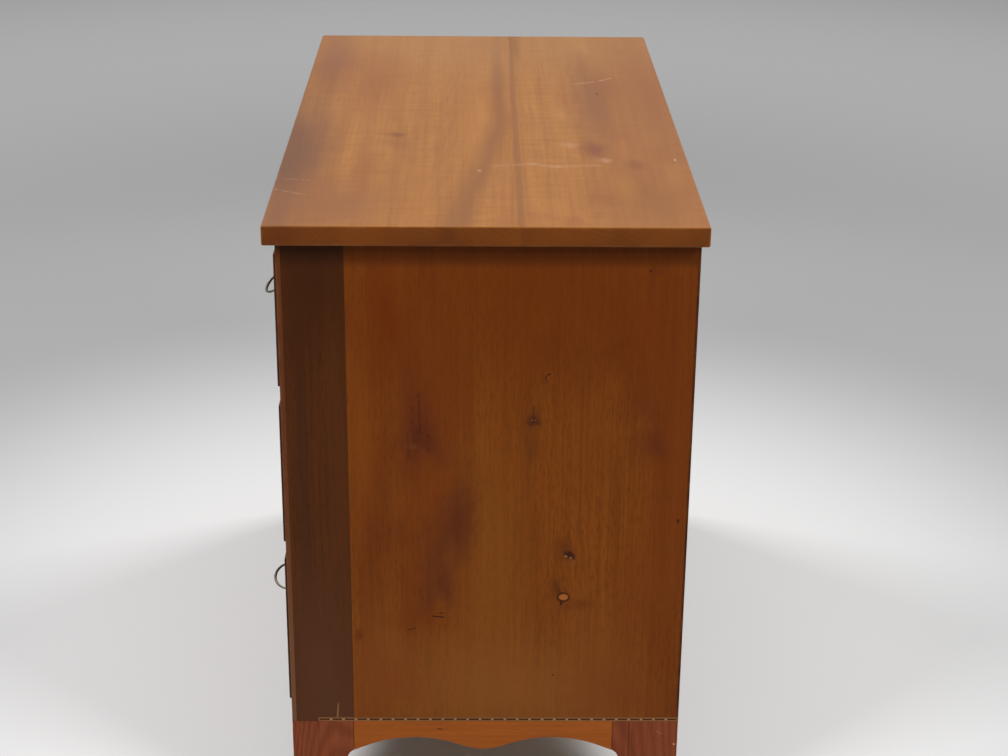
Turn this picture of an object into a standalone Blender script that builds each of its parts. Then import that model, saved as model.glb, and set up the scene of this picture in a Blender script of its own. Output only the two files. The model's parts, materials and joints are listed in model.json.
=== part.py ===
"""A country Federal chest of three long drawers on French feet, in metres.

X runs along the width, the front faces -Y and Z is up. The origin is on the floor, under the
middle of the chest's box. The rails are dovetailed into the ends behind a thin facing, the
drawers are dovetailed and cockbeaded, and each drawer has two oval pulls with a swinging bail.
"""

import math

import bmesh
import bpy
from mathutils import Vector

# Clearances
FIT = 0.0003  # between faces that are glued, nailed or seated
DRAWER_GAP = 0.001  # round a drawer front in its opening
PIN_GAP = 0.0003  # round a bail's pin in its post
POKE = 0.002  # how far a cutter runs past the face it enters by
WELD = 0.000001  # points closer than this are one

# Top, of two boards
TOP_WIDTH = 0.967
TOP_DEPTH = 0.508
TOP_THICK = 0.0238
TOP_FRONT_BOARD = 0.294  # front edge to the glue joint
TOP_EDGE_ROUND = 0.002
TOP_EDGE_STEPS = 2
END_OVERHANG = 0.016
FRONT_OVERHANG = 0.0135
BACK_OVERHANG = 0.008

# Case
END_THICK = 0.020
END_FRONT_BOARD = 0.078  # case front to the joint between an end's two boards
FACING_THICK = 0.0055
RAIL_DEPTH = 0.060
TOP_RAIL_HEIGHT = 0.0209
UPPER_BLADE_HEIGHT = 0.0231
LOWER_BLADE_HEIGHT = 0.0222
BOTTOM_RAIL_HEIGHT = 0.0197
RAIL_TAIL_LENGTH = 0.012
RAIL_TAIL_DEPTH = 0.050
RAIL_TAIL_SHOULDER = 0.004  # wood above and below a rail's tail at its root
RAIL_TAIL_SLOPE = 0.17
CASE_BOTTOM_THICK = 0.014
CASE_BOTTOM_HOUSING = 0.006
RUNNER_WIDTH = 0.028
RUNNER_HOUSING = 0.004
BACK_THICK = 0.012
BACK_RABBET = 0.010
LOWER_BACK_BOARD = 0.330
BACK_LAP = 0.010

# Base
BASE_HEIGHT = 0.1538  # floor to the lower edge of the case
SKIRT_SEAM_DROP = 0.0425  # lower edge of the case to the skirt's edge at the feet
SKIRT_ARCH_DROP = 0.0235  # the same at the top of an arch
SKIRT_CENTRE_DROP = 0.0410  # the same at the drop between two arches
SKIRT_SEAM_SLOPE = 0.45
SKIRT_SEAM_REACH = 0.33  # how far the curve holds its direction, as a share of half an arch
SKIRT_ARCH_REACH = 0.45
SKIRT_CENTRE_REACH = 0.29
SKIRT_CURVE_STEPS = 7
FRONT_FOOT_SIDE = 0.077  # width of a foot's leg along the end, up to the skirt
FRONT_FOOT_FACE = 0.085  # the same along the front
REAR_FOOT_SIDE = 0.083
REAR_FOOT_FACE = 0.070
FOOT_STEP = 0.008  # how much a leg narrows where the skirt's curve runs into it
FOOT_STEP_DROP = 0.004
FOOT_TAPER = 0.014
FOOT_FLARE = 0.009
FOOT_FLARE_HEIGHT = 0.085
FOOT_LEVELS = 10
INLAY_HEIGHT = 0.0055
INLAY_DEPTH = 0.0016
INLAY_LOST = 0.033  # stretch at the front of the right end that has lost its inlay

# Drawers
UPPER_DRAWER_HEIGHT = 0.165
MIDDLE_DRAWER_HEIGHT = 0.1804
LOWER_DRAWER_HEIGHT = 0.198
DRAWER_FRONT_THICK = 0.020
DRAWER_SIDE_THICK = 0.012
DRAWER_BACK_THICK = 0.012
DRAWER_SIDE_DROP = 0.004  # front's upper edge to a side's
DRAWER_BACK_DROP = 0.003  # a side's upper edge to the back's
BEAD_THICK = 0.003
BEAD_PROJECT = 0.0047
BEAD_SEAT = 0.006
BEAD_NOSE = 0.0012
BEAD_NOSE_STEPS = 2
BEAD_BACKING = 0.002  # wood between the bead's rabbet and the tails
TAIL_PITCH = 0.048
TAIL_SHARE = 0.5  # of its pitch that a tail takes at its root
TAIL_SLOPE = 0.16
COMB_BACK = 0.006
BOTTOM_THICK = 0.009
BOTTOM_EDGE = 0.005
BOTTOM_FEATHER = 0.025
GROOVE_DEPTH = 0.006
GROOVE_UP = 0.010

# Pulls
PULL_INSET = 0.150  # case end to the middle of a pull
PULL_RAISE = 0.0065  # middle of a drawer's height to the bail's axis
PLATE_LENGTH = 0.092
PLATE_HEIGHT = 0.056
PLATE_THICK = 0.0012
PLATE_RIM_WIDTH = 0.0012
PLATE_RIM_RISE = 0.0008
PLATE_STEPS = 28
POST_SPACING = 0.060
POST_HEAD_RADIUS = 0.0037
POST_NECK_RADIUS = 0.0022
POST_COLLAR_RADIUS = 0.0045
POST_COLLAR_HEIGHT = 0.0010
POST_SHANK_RADIUS = 0.0022
POST_STEPS = 10
POST_BALL_STEPS = 4
PULL_SHARP_ANGLE = math.radians(35)  # edges sharper than this aren't shaded round
NUT_RADIUS = 0.0050
NUT_THICK = 0.0035
PIVOT_OUT = 0.0105  # drawer face to the bail's axis
BAIL_DROP = 0.0202
BAIL_RADIUS = 0.0019
BAIL_PIN_RADIUS = 0.0013
BAIL_PIN_PAST = 0.002  # past the middle of its post
BAIL_ARM_GAP = 0.0005
BAIL_BEND = 0.0025
BAIL_STEPS = 18
BAIL_ROUND_STEPS = 2
UPPER_RIGHT_BAIL_LIFT = math.radians(56)  # the photographed rest positions
LOWER_RIGHT_BAIL_LIFT = math.radians(93)

# Finishes
WOODS = {
    "top_wood": (0.32, 0.15, 0.06),
    "end_wood": (0.17, 0.055, 0.015),
    "dark_wood": (0.04, 0.014, 0.007),
    "facing_wood": (0.16, 0.055, 0.025),
    "skirt_wood": (0.24, 0.075, 0.018),
    "foot_wood": (0.17, 0.05, 0.02),
    "drawer_wood": (0.18, 0.06, 0.018),
    "bead_wood": (0.035, 0.014, 0.008),
    "inlay_wood": (0.42, 0.25, 0.12),
    "inside_wood": (0.36, 0.22, 0.10),
}
WOOD_ROUGHNESS = 0.45
BRASS_COLOUR = (0.30, 0.22, 0.10)
BRASS_ROUGHNESS = 0.4

# Worked out from the sizes above
CASE_HALF = TOP_WIDTH / 2 - END_OVERHANG
INNER_HALF = CASE_HALF - END_THICK
CASE_DEPTH = TOP_DEPTH - FRONT_OVERHANG - BACK_OVERHANG
BAIL_LIFTS = {"upper_right": UPPER_RIGHT_BAIL_LIFT, "lower_right": LOWER_RIGHT_BAIL_LIFT}
BAIL_REACH = PIVOT_OUT + BAIL_RADIUS + BAIL_DROP * max(map(math.sin, BAIL_LIFTS.values()))
CASE_FRONT = (max(BAIL_REACH, FRONT_OVERHANG) - CASE_DEPTH - BACK_OVERHANG) / 2
CASE_BACK = CASE_FRONT + CASE_DEPTH
RAIL_BACK = CASE_FRONT + RAIL_DEPTH
LOWER_OPENING = BASE_HEIGHT + BOTTOM_RAIL_HEIGHT
LOWER_BLADE = LOWER_OPENING + LOWER_DRAWER_HEIGHT + 2 * DRAWER_GAP
MIDDLE_OPENING = LOWER_BLADE + LOWER_BLADE_HEIGHT
UPPER_BLADE = MIDDLE_OPENING + MIDDLE_DRAWER_HEIGHT + 2 * DRAWER_GAP
UPPER_OPENING = UPPER_BLADE + UPPER_BLADE_HEIGHT
TOP_RAIL = UPPER_OPENING + UPPER_DRAWER_HEIGHT + 2 * DRAWER_GAP
CASE_TOP = TOP_RAIL + TOP_RAIL_HEIGHT
DRAWER_HALF = INNER_HALF - DRAWER_GAP
DRAWER_LENGTH = CASE_DEPTH - BACK_THICK
BAIL_HALF = POST_SPACING / 2 + POST_HEAD_RADIUS + BAIL_ARM_GAP + BAIL_PIN_RADIUS

# How a flat outline stands: its own X, Y and thickness along these world axes
ACROSS = (math.radians(90), 0, 0)  # X, Z and -Y
ALONG_END = (math.radians(90), 0, math.radians(90))  # Y, Z and X
LEVEL = (0, 0, 0)

SIDES = {"left": -1, "right": 1}


def clear_scene():
    """Removes what the scene holds and makes the collections of parts and cutters."""
    for obj in list(bpy.data.objects):
        bpy.data.objects.remove(obj)
    for name in ("dresser", "dresser_cutters"):
        bpy.context.scene.collection.children.link(bpy.data.collections.new(name))


def make_material(name, colour, roughness, metallic):
    """A plain Principled finish."""
    material = bpy.data.materials.new(name)
    material.use_nodes = True
    shader = material.node_tree.nodes["Principled BSDF"]
    shader.inputs["Base Color"].default_value = (*colour, 1)
    shader.inputs["Roughness"].default_value = roughness
    shader.inputs["Metallic"].default_value = metallic


def make_finishes():
    """Every finish on the chest, found later by its name."""
    for name, colour in WOODS.items():
        make_material(name, colour, WOOD_ROUGHNESS, 0.0)
    make_material("brass", BRASS_COLOUR, BRASS_ROUGHNESS, 1.0)


def place(name, data, location, rotation=LEVEL, parent=None, collection="dresser"):
    """Links an object at a place given in its parent's frame."""
    obj = bpy.data.objects.new(name, data)
    bpy.data.collections[collection].objects.link(obj)
    obj.parent = parent
    obj.location = location
    obj.rotation_euler = rotation
    return obj


def place_part(name, data, finish, location, rotation=LEVEL, parent=None):
    """Links a sub-part with its finish."""
    if not data.materials:
        data.materials.append(bpy.data.materials[finish])
    return place(name, data, location, rotation, parent)


def place_cutter(name, mesh, location, rotation=LEVEL, parent=None):
    """Links a helper that cuts or joins and isn't a sub-part."""
    cutter = place(name, mesh, location, rotation, parent, "dresser_cutters")
    cutter.hide_render = True
    cutter.display_type = "WIRE"
    return cutter


def combine(target, helper, operation):
    """Adds a Boolean with this helper to the target."""
    modifier = target.modifiers.new(helper.name, "BOOLEAN")
    modifier.operation = operation
    modifier.solver = "EXACT"
    modifier.object = helper


def cut(helper, *targets):
    """Cuts the helper's shape out of each target."""
    for target in targets:
        combine(target, helper, "DIFFERENCE")


def mesh_from(shape, name):
    """Ends a bmesh and returns its mesh, with faces turned out."""
    bmesh.ops.recalc_face_normals(shape, faces=shape.faces)
    mesh = bpy.data.meshes.new(name)
    shape.to_mesh(mesh)
    shape.free()
    return mesh


def box_shape(size):
    """A bmesh box of this size about its own middle."""
    shape = bmesh.new()
    bmesh.ops.create_cube(shape, size=1.0)
    bmesh.ops.scale(shape, vec=size, verts=shape.verts)
    return shape


def add_board(name, low, high, finish, parent=None):
    """A plain board between two corners, given in its parent's frame."""
    low, high = Vector(low), Vector(high)
    mesh = mesh_from(box_shape(high - low), name)
    return place_part(name, mesh, finish, (low + high) / 2, parent=parent)


def box_cutter(name, low, high, parent=None):
    """A box that cuts, between two corners in its parent's frame."""
    low, high = Vector(low), Vector(high)
    return place_cutter(name, mesh_from(box_shape(high - low), name), (low + high) / 2, parent=parent)


def mesh_of(obj):
    """An object as Blender evaluates it, as a mesh with its loose caps welded."""
    graph = bpy.context.evaluated_depsgraph_get()
    mesh = bpy.data.meshes.new_from_object(obj.evaluated_get(graph))
    shape = bmesh.new()
    shape.from_mesh(mesh)
    bmesh.ops.remove_doubles(shape, verts=shape.verts, dist=WELD)
    bpy.data.meshes.remove(mesh)
    return mesh_from(shape, obj.name)


def outline_curve(name, thick):
    """An empty flat curve that fills its outline and has this thickness."""
    curve = bpy.data.curves.new(name, "CURVE")
    curve.dimensions = "2D"
    curve.fill_mode = "BOTH"
    curve.extrude = thick / 2
    return curve


def outline_mesh(name, points, thick):
    """A closed straight-sided outline in its own XY plane, made thick along Z."""
    curve = outline_curve(name, thick)
    spline = curve.splines.new("POLY")
    spline.points.add(len(points) - 1)
    for point, (x, y) in zip(spline.points, points):
        point.co = (x, y, 0, 1)
    spline.use_cyclic_u = True
    guide = place(name, curve, (0, 0, 0), collection="dresser_cutters")
    mesh = mesh_of(guide)
    bpy.data.objects.remove(guide)
    return mesh


def make_top():
    """Two boards glued edge to edge, with rounded outer edges."""
    front = CASE_FRONT - FRONT_OVERHANG
    joint = front + TOP_FRONT_BOARD
    boards = {
        "top_front_board": (front, joint - FIT / 2, 1),
        "top_rear_board": (joint + FIT / 2, front + TOP_DEPTH, -1),
    }
    for name, (low, high, joint_side) in boards.items():
        shape = box_shape((TOP_WIDTH, high - low, TOP_THICK))
        joint_edges = {
            edge for edge in shape.edges if all(vert.co.y * joint_side > 0 for vert in edge.verts)
        }
        bmesh.ops.bevel(
            shape,
            geom=[edge for edge in shape.edges if edge not in joint_edges],
            offset=TOP_EDGE_ROUND,
            segments=TOP_EDGE_STEPS,
            profile=0.5,
            affect="EDGES",
        )
        middle = (0, (low + high) / 2, CASE_TOP + FIT + TOP_THICK / 2)
        place_part(name, mesh_from(shape, name), "top_wood", middle)


def make_ends():
    """Each end is a wide panel, a narrow dark board before it and a thin facing on its front edge."""
    ends = []
    for side, sign in SIDES.items():
        inner, outer = sorted((sign * INNER_HALF, sign * CASE_HALF))
        lengths = {
            "front_facing": (CASE_FRONT, CASE_FRONT + FACING_THICK, "facing_wood"),
            "end_front_board": (
                CASE_FRONT + FACING_THICK + FIT,
                CASE_FRONT + END_FRONT_BOARD - FIT / 2,
                "dark_wood",
            ),
            "end_panel": (CASE_FRONT + END_FRONT_BOARD + FIT / 2, CASE_BACK, "end_wood"),
        }
        for piece, (front, back, finish) in lengths.items():
            low, high = (inner, front, BASE_HEIGHT), (outer, back, CASE_TOP)
            ends.append(add_board(f"{side}_{piece}", low, high, finish))
    return {end.name: end for end in ends}


def rail_tails_mesh(name, height, grow=0.0):
    """A bar whose ends are a rail's two dovetails, in its own XZ plane."""
    root = height / 2 - RAIL_TAIL_SHOULDER + grow
    tip = root + RAIL_TAIL_LENGTH * RAIL_TAIL_SLOPE
    root_x = INNER_HALF - FIT
    tip_x = INNER_HALF + RAIL_TAIL_LENGTH - FIT + grow
    quarter = [(tip_x, tip), (root_x, root)]
    right_to_left = quarter + [(-x, z) for x, z in reversed(quarter)]
    back_again = [(x, -z) for x, z in reversed(right_to_left)]
    return outline_mesh(name, right_to_left + back_again, RAIL_TAIL_DEPTH + 2 * grow)


def make_rails(ends):
    """The rails between the drawers, dovetailed into the ends' front boards behind the facings."""
    rails = {
        "bottom_rail": (BASE_HEIGHT, BOTTOM_RAIL_HEIGHT),
        "lower_blade": (LOWER_BLADE, LOWER_BLADE_HEIGHT),
        "upper_blade": (UPPER_BLADE, UPPER_BLADE_HEIGHT),
        "top_front_rail": (TOP_RAIL, TOP_RAIL_HEIGHT),
    }
    half = INNER_HALF - FIT
    tails_middle = CASE_FRONT + FACING_THICK + FIT + RAIL_TAIL_DEPTH / 2
    for name, (low, height) in rails.items():
        rail = add_board(name, (-half, CASE_FRONT, low), (half, RAIL_BACK, low + height), "drawer_wood")
        middle = (0, tails_middle, low + height / 2)
        tails = place_cutter(f"{name}_tails", rail_tails_mesh(f"{name}_tails", height), middle, ACROSS)
        combine(rail, tails, "UNION")
        socket_mesh = rail_tails_mesh(f"{name}_sockets", height, FIT)
        sockets = place_cutter(f"{name}_sockets", socket_mesh, middle, ACROSS)
        cut(sockets, ends["left_end_front_board"], ends["right_end_front_board"])


def house_across(name, half, low, high, ends):
    """Cuts one housing in both ends, from behind the rails to the back."""
    cutter = box_cutter(name, (-half, RAIL_BACK, low - FIT), (half, CASE_BACK + POKE, high + FIT))
    cut(cutter, *(ends[f"{side}_{board}"] for side in SIDES for board in ("end_front_board", "end_panel")))


def make_case_inside(ends):
    """The case's bottom and the runners that carry the drawers, housed in the ends, and the kickers."""
    back = CASE_BACK - BACK_THICK
    front = RAIL_BACK + FIT
    low = LOWER_OPENING - CASE_BOTTOM_THICK
    half = INNER_HALF + CASE_BOTTOM_HOUSING
    add_board("case_bottom", (FIT - half, front, low), (half - FIT, back, LOWER_OPENING), "inside_wood")
    house_across("case_bottom_housing", half, low, LOWER_OPENING, ends)
    strips = {
        "lower_runner": (LOWER_BLADE, MIDDLE_OPENING, RUNNER_HOUSING),
        "upper_runner": (UPPER_BLADE, UPPER_OPENING, RUNNER_HOUSING),
        "kicker": (TOP_RAIL, CASE_TOP, 0.0),
    }
    for name, (low, high, housing) in strips.items():
        for side, sign in SIDES.items():
            inside = sign * (INNER_HALF - RUNNER_WIDTH)
            outside = sign * (INNER_HALF + housing - FIT)
            corners = sorted((inside, outside))
            add_board(f"{name}_{side}", (corners[0], front, low), (corners[1], back, high), "inside_wood")
        if housing:
            house_across(f"{name}_housing", INNER_HALF + housing, low, high, ends)


def make_back(ends):
    """Two wide boards, lapped where they meet and nailed into a rabbet in the end panels."""
    front = CASE_BACK - BACK_THICK
    half = INNER_HALF + BACK_RABBET
    rabbet = box_cutter(
        "back_rabbet", (-half, front, BASE_HEIGHT - POKE), (half, CASE_BACK + POKE, CASE_TOP + POKE)
    )
    cut(rabbet, ends["left_end_panel"], ends["right_end_panel"])
    thick = BACK_THICK - FIT
    lap_front, lap_back = (thick - FIT) / 2, (thick + FIT) / 2
    joint = LOWER_BACK_BOARD
    top = CASE_TOP - BASE_HEIGHT
    outlines = {
        "back_board_lower": [
            (0, 0),
            (thick, 0),
            (thick, joint - BACK_LAP),
            (lap_front, joint - BACK_LAP),
            (lap_front, joint),
            (0, joint),
        ],
        "back_board_upper": [
            (lap_back, joint - BACK_LAP + FIT),
            (thick, joint - BACK_LAP + FIT),
            (thick, top),
            (0, top),
            (0, joint + FIT),
            (lap_back, joint + FIT),
        ],
    }
    for name, points in outlines.items():
        mesh = outline_mesh(name, points, 2 * (half - FIT))
        place_part(name, mesh, "inside_wood", (0, front + FIT, BASE_HEIGHT), ALONG_END)


def make_inlay(ends):
    """A banded line let in round the case's lower edge; the right end has lost its first stretch."""
    high = BASE_HEIGHT + INLAY_HEIGHT
    seat = INLAY_DEPTH + FIT
    low_cut, high_cut = BASE_HEIGHT - POKE, high + FIT
    right_start = CASE_FRONT + INLAY_LOST
    add_board(
        "right_inlay_band",
        (CASE_HALF - INLAY_DEPTH, right_start, BASE_HEIGHT),
        (CASE_HALF, CASE_BACK, high),
        "inlay_wood",
    )
    corner = [
        (CASE_HALF, CASE_FRONT),
        (CASE_HALF, CASE_FRONT + INLAY_DEPTH),
        (INLAY_DEPTH - CASE_HALF, CASE_FRONT + INLAY_DEPTH),
        (INLAY_DEPTH - CASE_HALF, CASE_BACK),
        (-CASE_HALF, CASE_BACK),
        (-CASE_HALF, CASE_FRONT),
    ]
    band = outline_mesh("front_inlay_band", corner, INLAY_HEIGHT)
    place_part("front_inlay_band", band, "inlay_wood", (0, 0, BASE_HEIGHT + INLAY_HEIGHT / 2))
    right_seat = box_cutter(
        "right_inlay_seat",
        (CASE_HALF - seat, right_start - FIT, low_cut),
        (CASE_HALF + POKE, CASE_BACK + POKE, high_cut),
    )
    left_seat = box_cutter(
        "left_inlay_seat",
        (-CASE_HALF - POKE, CASE_FRONT - POKE, low_cut),
        (seat - CASE_HALF, CASE_BACK + POKE, high_cut),
    )
    front_seat = box_cutter(
        "front_inlay_seat",
        (-CASE_HALF - POKE, CASE_FRONT - POKE, low_cut),
        (CASE_HALF + POKE, CASE_FRONT + seat, high_cut),
    )
    cut(right_seat, ends["right_end_front_board"], ends["right_end_panel"])
    cut(left_seat, *(ends[f"left_{board}"] for board in ("front_facing", "end_front_board", "end_panel")))
    cut(front_seat, ends["left_front_facing"], ends["right_front_facing"], bpy.data.objects["bottom_rail"])


def skirt_curve(name, length):
    """A skirt's outline from seam to seam: two arches with a drop between them."""
    half = length / 2
    arch = half / 2
    lower_edge = [
        (-half, SKIRT_SEAM_DROP, SKIRT_SEAM_REACH, SKIRT_SEAM_SLOPE),
        (-arch, SKIRT_ARCH_DROP, SKIRT_ARCH_REACH, 0),
        (0, SKIRT_CENTRE_DROP, SKIRT_CENTRE_REACH, 0),
        (arch, SKIRT_ARCH_DROP, SKIRT_ARCH_REACH, 0),
        (half, SKIRT_SEAM_DROP, SKIRT_SEAM_REACH, -SKIRT_SEAM_SLOPE),
    ]
    curve = outline_curve(name, END_THICK)
    curve.resolution_u = SKIRT_CURVE_STEPS
    spline = curve.splines.new("BEZIER")
    spline.bezier_points.add(len(lower_edge) + 1)
    for point, (x, drop, reach, slope) in zip(spline.bezier_points, lower_edge):
        point.handle_left_type = point.handle_right_type = "FREE"
        handle = Vector((reach * arch, reach * arch * slope, 0))
        point.co = (x, -drop, 0)
        point.handle_left = point.co - handle
        point.handle_right = point.co + handle
    for point, x in zip(spline.bezier_points[len(lower_edge) :], (half, -half)):
        point.handle_left_type = point.handle_right_type = "VECTOR"
        point.co = (x, 0, 0)
    spline.bezier_points[0].handle_left_type = "VECTOR"
    spline.bezier_points[len(lower_edge) - 1].handle_right_type = "VECTOR"
    spline.use_cyclic_u = True
    return curve


def make_skirts():
    """Scalloped skirts along the front and both ends, between the feet."""
    top = BASE_HEIGHT - FIT
    front_length = 2 * (CASE_HALF - FRONT_FOOT_FACE - FIT)
    front_middle = (0, CASE_FRONT + END_THICK / 2, top)
    place_part("front_skirt", skirt_curve("front_skirt", front_length), "skirt_wood", front_middle, ACROSS)
    low = CASE_FRONT + FRONT_FOOT_SIDE + FIT
    high = CASE_BACK - REAR_FOOT_SIDE - FIT
    for side, sign in SIDES.items():
        name = f"{side}_skirt"
        middle = (sign * (CASE_HALF - END_THICK / 2), (low + high) / 2, top)
        place_part(name, skirt_curve(name, high - low), "skirt_wood", middle, ALONG_END)


def foot_levels():
    """Heights at which a foot's section is drawn, closer together where the skirt's curve runs in."""
    seam = BASE_HEIGHT - FIT - SKIRT_SEAM_DROP
    return [BASE_HEIGHT - FIT] + [seam * (1 - (i / FOOT_LEVELS) ** 2) for i in range(FOOT_LEVELS + 1)]


def leg_width(width, z):
    """How far a leg reaches from the case's corner at a height: it steps in below the skirt and tapers."""
    seam = BASE_HEIGHT - FIT - SKIRT_SEAM_DROP
    below = max(0.0, seam - z)
    step = FOOT_STEP * (1 - math.exp(-below / FOOT_STEP_DROP))
    return width - step - FOOT_TAPER * below / seam


def foot_flare(z):
    """How far a foot's outer faces have swept out at a height."""
    return FOOT_FLARE * max(0.0, 1 - z / FOOT_FLARE_HEIGHT) ** 2


def add_foot(name, side_width, face_width, x_sign, y_sign, face_flares):
    """A corner foot: two legs joined at the corner, lofted down from the case to the floor."""
    corner_x = x_sign * CASE_HALF
    corner_y = CASE_FRONT if y_sign < 0 else CASE_BACK
    shape = bmesh.new()
    rings = []
    for z in foot_levels():
        out = foot_flare(z)
        face_out = out if face_flares else 0.0
        side_end = leg_width(side_width, z)
        face_end = leg_width(face_width, z)
        section = [
            (-out, -face_out),
            (face_end, -face_out),
            (face_end, END_THICK - face_out),
            (END_THICK - out, END_THICK - face_out),
            (END_THICK - out, side_end),
            (-out, side_end),
        ]
        points = [(corner_x - x_sign * a, corner_y - y_sign * b, z) for a, b in section]
        rings.append([shape.verts.new(point) for point in points])
    for upper, lower in zip(rings, rings[1:]):
        for i, vert in enumerate(upper):
            j = (i + 1) % len(upper)
            shape.faces.new((vert, upper[j], lower[j], lower[i]))
    shape.faces.new(rings[0])
    shape.faces.new(rings[-1])
    place_part(name, mesh_from(shape, name), "foot_wood", (0, 0, 0))


def make_feet():
    """French feet at the front, flared both ways, and plain-backed ones behind."""
    for side, sign in SIDES.items():
        add_foot(f"front_{side}_foot", FRONT_FOOT_SIDE, FRONT_FOOT_FACE, sign, -1, True)
        add_foot(f"rear_{side}_foot", REAR_FOOT_SIDE, REAR_FOOT_FACE, sign, 1, False)


def tail_points(shoulder, tip, low, high, grow=0.0):
    """The edge of a row of tails in (depth, height), from low to high."""
    count = max(2, round((high - low) / TAIL_PITCH))
    pitch = (high - low) / count
    root_half = TAIL_SHARE * pitch / 2 + grow
    tip_half = root_half + abs(tip - shoulder) * TAIL_SLOPE
    points = []
    for index in range(count):
        middle = low + (index + 0.5) * pitch
        points += [
            (shoulder, middle - root_half),
            (tip, middle - tip_half),
            (tip, middle + tip_half),
            (shoulder, middle + root_half),
        ]
    return points


class DrawerLevels:
    """Depths and heights inside one drawer, from its face and from the bottom of its opening."""

    def __init__(self, height):
        self.front_low = DRAWER_GAP
        self.front_high = DRAWER_GAP + height
        self.side_low = FIT
        self.side_high = self.front_high - DRAWER_SIDE_DROP
        self.groove_low = self.side_low + GROOVE_UP
        feather_in_groove = (BOTTOM_THICK - BOTTOM_EDGE) * GROOVE_DEPTH / BOTTOM_FEATHER
        self.panel_edge = self.groove_low + FIT + feather_in_groove
        self.panel_top = self.panel_edge + BOTTOM_EDGE
        self.groove_high = self.panel_top + FIT
        self.back_low = self.panel_top + FIT
        self.back_high = self.side_high - DRAWER_BACK_DROP
        self.front_shoulder = DRAWER_FRONT_THICK + FIT
        self.front_tip = BEAD_SEAT + BEAD_BACKING + FIT
        self.back_shoulder = DRAWER_LENGTH - DRAWER_BACK_THICK - FIT
        self.inner_half = DRAWER_HALF - DRAWER_SIDE_THICK


def stepped_front_mesh(name, height):
    """A drawer front with a rabbet round its face for the cockbead."""
    step = BEAD_SEAT + FIT
    shape = box_shape((2 * DRAWER_HALF, DRAWER_FRONT_THICK - step, height))
    face = [face for face in shape.faces if face.normal.y < -0.5]
    bmesh.ops.inset_individual(shape, faces=face, thickness=BEAD_THICK + FIT, use_even_offset=True)
    raised = bmesh.ops.extrude_discrete_faces(shape, faces=face)["faces"]
    bmesh.ops.translate(shape, vec=(0, -step, 0), verts=raised[0].verts)
    return mesh_from(shape, name)


def add_comb(name, shoulder, tip, levels, sign, drawer):
    """A cutter shaped like one row of a side's tails, with clearance all round."""
    toward = math.copysign(1, tip - shoulder)
    low, high = levels
    back = shoulder - toward * COMB_BACK
    points = [(back, low), *tail_points(shoulder, tip + toward * FIT, low, high, FIT), (back, high)]
    inner = DRAWER_HALF - DRAWER_SIDE_THICK - FIT
    outer = DRAWER_HALF + POKE
    mesh = outline_mesh(name, points, outer - inner)
    return place_cutter(name, mesh, (sign * (inner + outer) / 2, 0, 0), ALONG_END, drawer)


def add_drawer_box(name, levels, drawer):
    """The dovetailed box: front, two sides and back, with a groove for the bottom."""
    height = levels.front_high - levels.front_low
    step = BEAD_SEAT + FIT
    front = place_part(
        f"{name}_front",
        stepped_front_mesh(f"{name}_front", height),
        "drawer_wood",
        (0, (DRAWER_FRONT_THICK + step) / 2, (levels.front_low + levels.front_high) / 2),
        parent=drawer,
    )
    back = add_board(
        f"{name}_back",
        (-DRAWER_HALF, DRAWER_LENGTH - DRAWER_BACK_THICK, levels.back_low),
        (DRAWER_HALF, DRAWER_LENGTH, levels.back_high),
        "inside_wood",
        drawer,
    )
    front_row = (levels.front_low, levels.side_high)
    back_row = (levels.back_low, levels.back_high)
    outline = [
        (levels.front_shoulder, levels.side_low),
        (DRAWER_LENGTH, levels.side_low),
        (DRAWER_LENGTH, levels.back_low - FIT),
        (levels.back_shoulder, levels.back_low - FIT),
        *tail_points(levels.back_shoulder, DRAWER_LENGTH, *back_row),
        (levels.back_shoulder, levels.side_high),
        (levels.front_shoulder, levels.side_high),
        *reversed(tail_points(levels.front_shoulder, levels.front_tip, *front_row)),
    ]
    groove_half = levels.inner_half + GROOVE_DEPTH
    groove = box_cutter(
        f"{name}_groove",
        (-groove_half, DRAWER_FRONT_THICK - GROOVE_DEPTH, levels.groove_low),
        (groove_half, DRAWER_LENGTH + POKE, levels.groove_high),
        drawer,
    )
    cut(groove, front)
    for side, sign in SIDES.items():
        mesh = outline_mesh(f"{name}_{side}_side", outline, DRAWER_SIDE_THICK)
        middle = (sign * (DRAWER_HALF - DRAWER_SIDE_THICK / 2), 0, 0)
        board = place_part(f"{name}_{side}_side", mesh, "inside_wood", middle, ALONG_END, drawer)
        cut(groove, board)
        front_comb = add_comb(
            f"{name}_{side}_front_comb", levels.front_shoulder, levels.front_tip, front_row, sign, drawer
        )
        back_comb = add_comb(
            f"{name}_{side}_back_comb", levels.back_shoulder, DRAWER_LENGTH + POKE, back_row, sign, drawer
        )
        cut(front_comb, front)
        cut(back_comb, back)
    return front


def add_drawer_bottom(name, levels, drawer):
    """A panel feathered on its underside along three edges, which slides under the drawer's back."""
    half = levels.inner_half + GROOVE_DEPTH - FIT
    start = DRAWER_FRONT_THICK - GROOVE_DEPTH + FIT
    shape = box_shape((2 * half, DRAWER_LENGTH - start, BOTTOM_EDGE))
    under = [face for face in shape.faces if face.normal.z < -0.5]
    lowered = bmesh.ops.extrude_discrete_faces(shape, faces=under)["faces"][0]
    for vert in lowered.verts:
        vert.co.z -= BOTTOM_THICK - BOTTOM_EDGE
        vert.co.x -= math.copysign(BOTTOM_FEATHER, vert.co.x)
        if vert.co.y < 0:
            vert.co.y += BOTTOM_FEATHER
    middle = (0, (start + DRAWER_LENGTH) / 2, levels.panel_edge + BOTTOM_EDGE / 2)
    place_part(f"{name}_bottom", mesh_from(shape, f"{name}_bottom"), "inside_wood", middle, parent=drawer)


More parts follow.
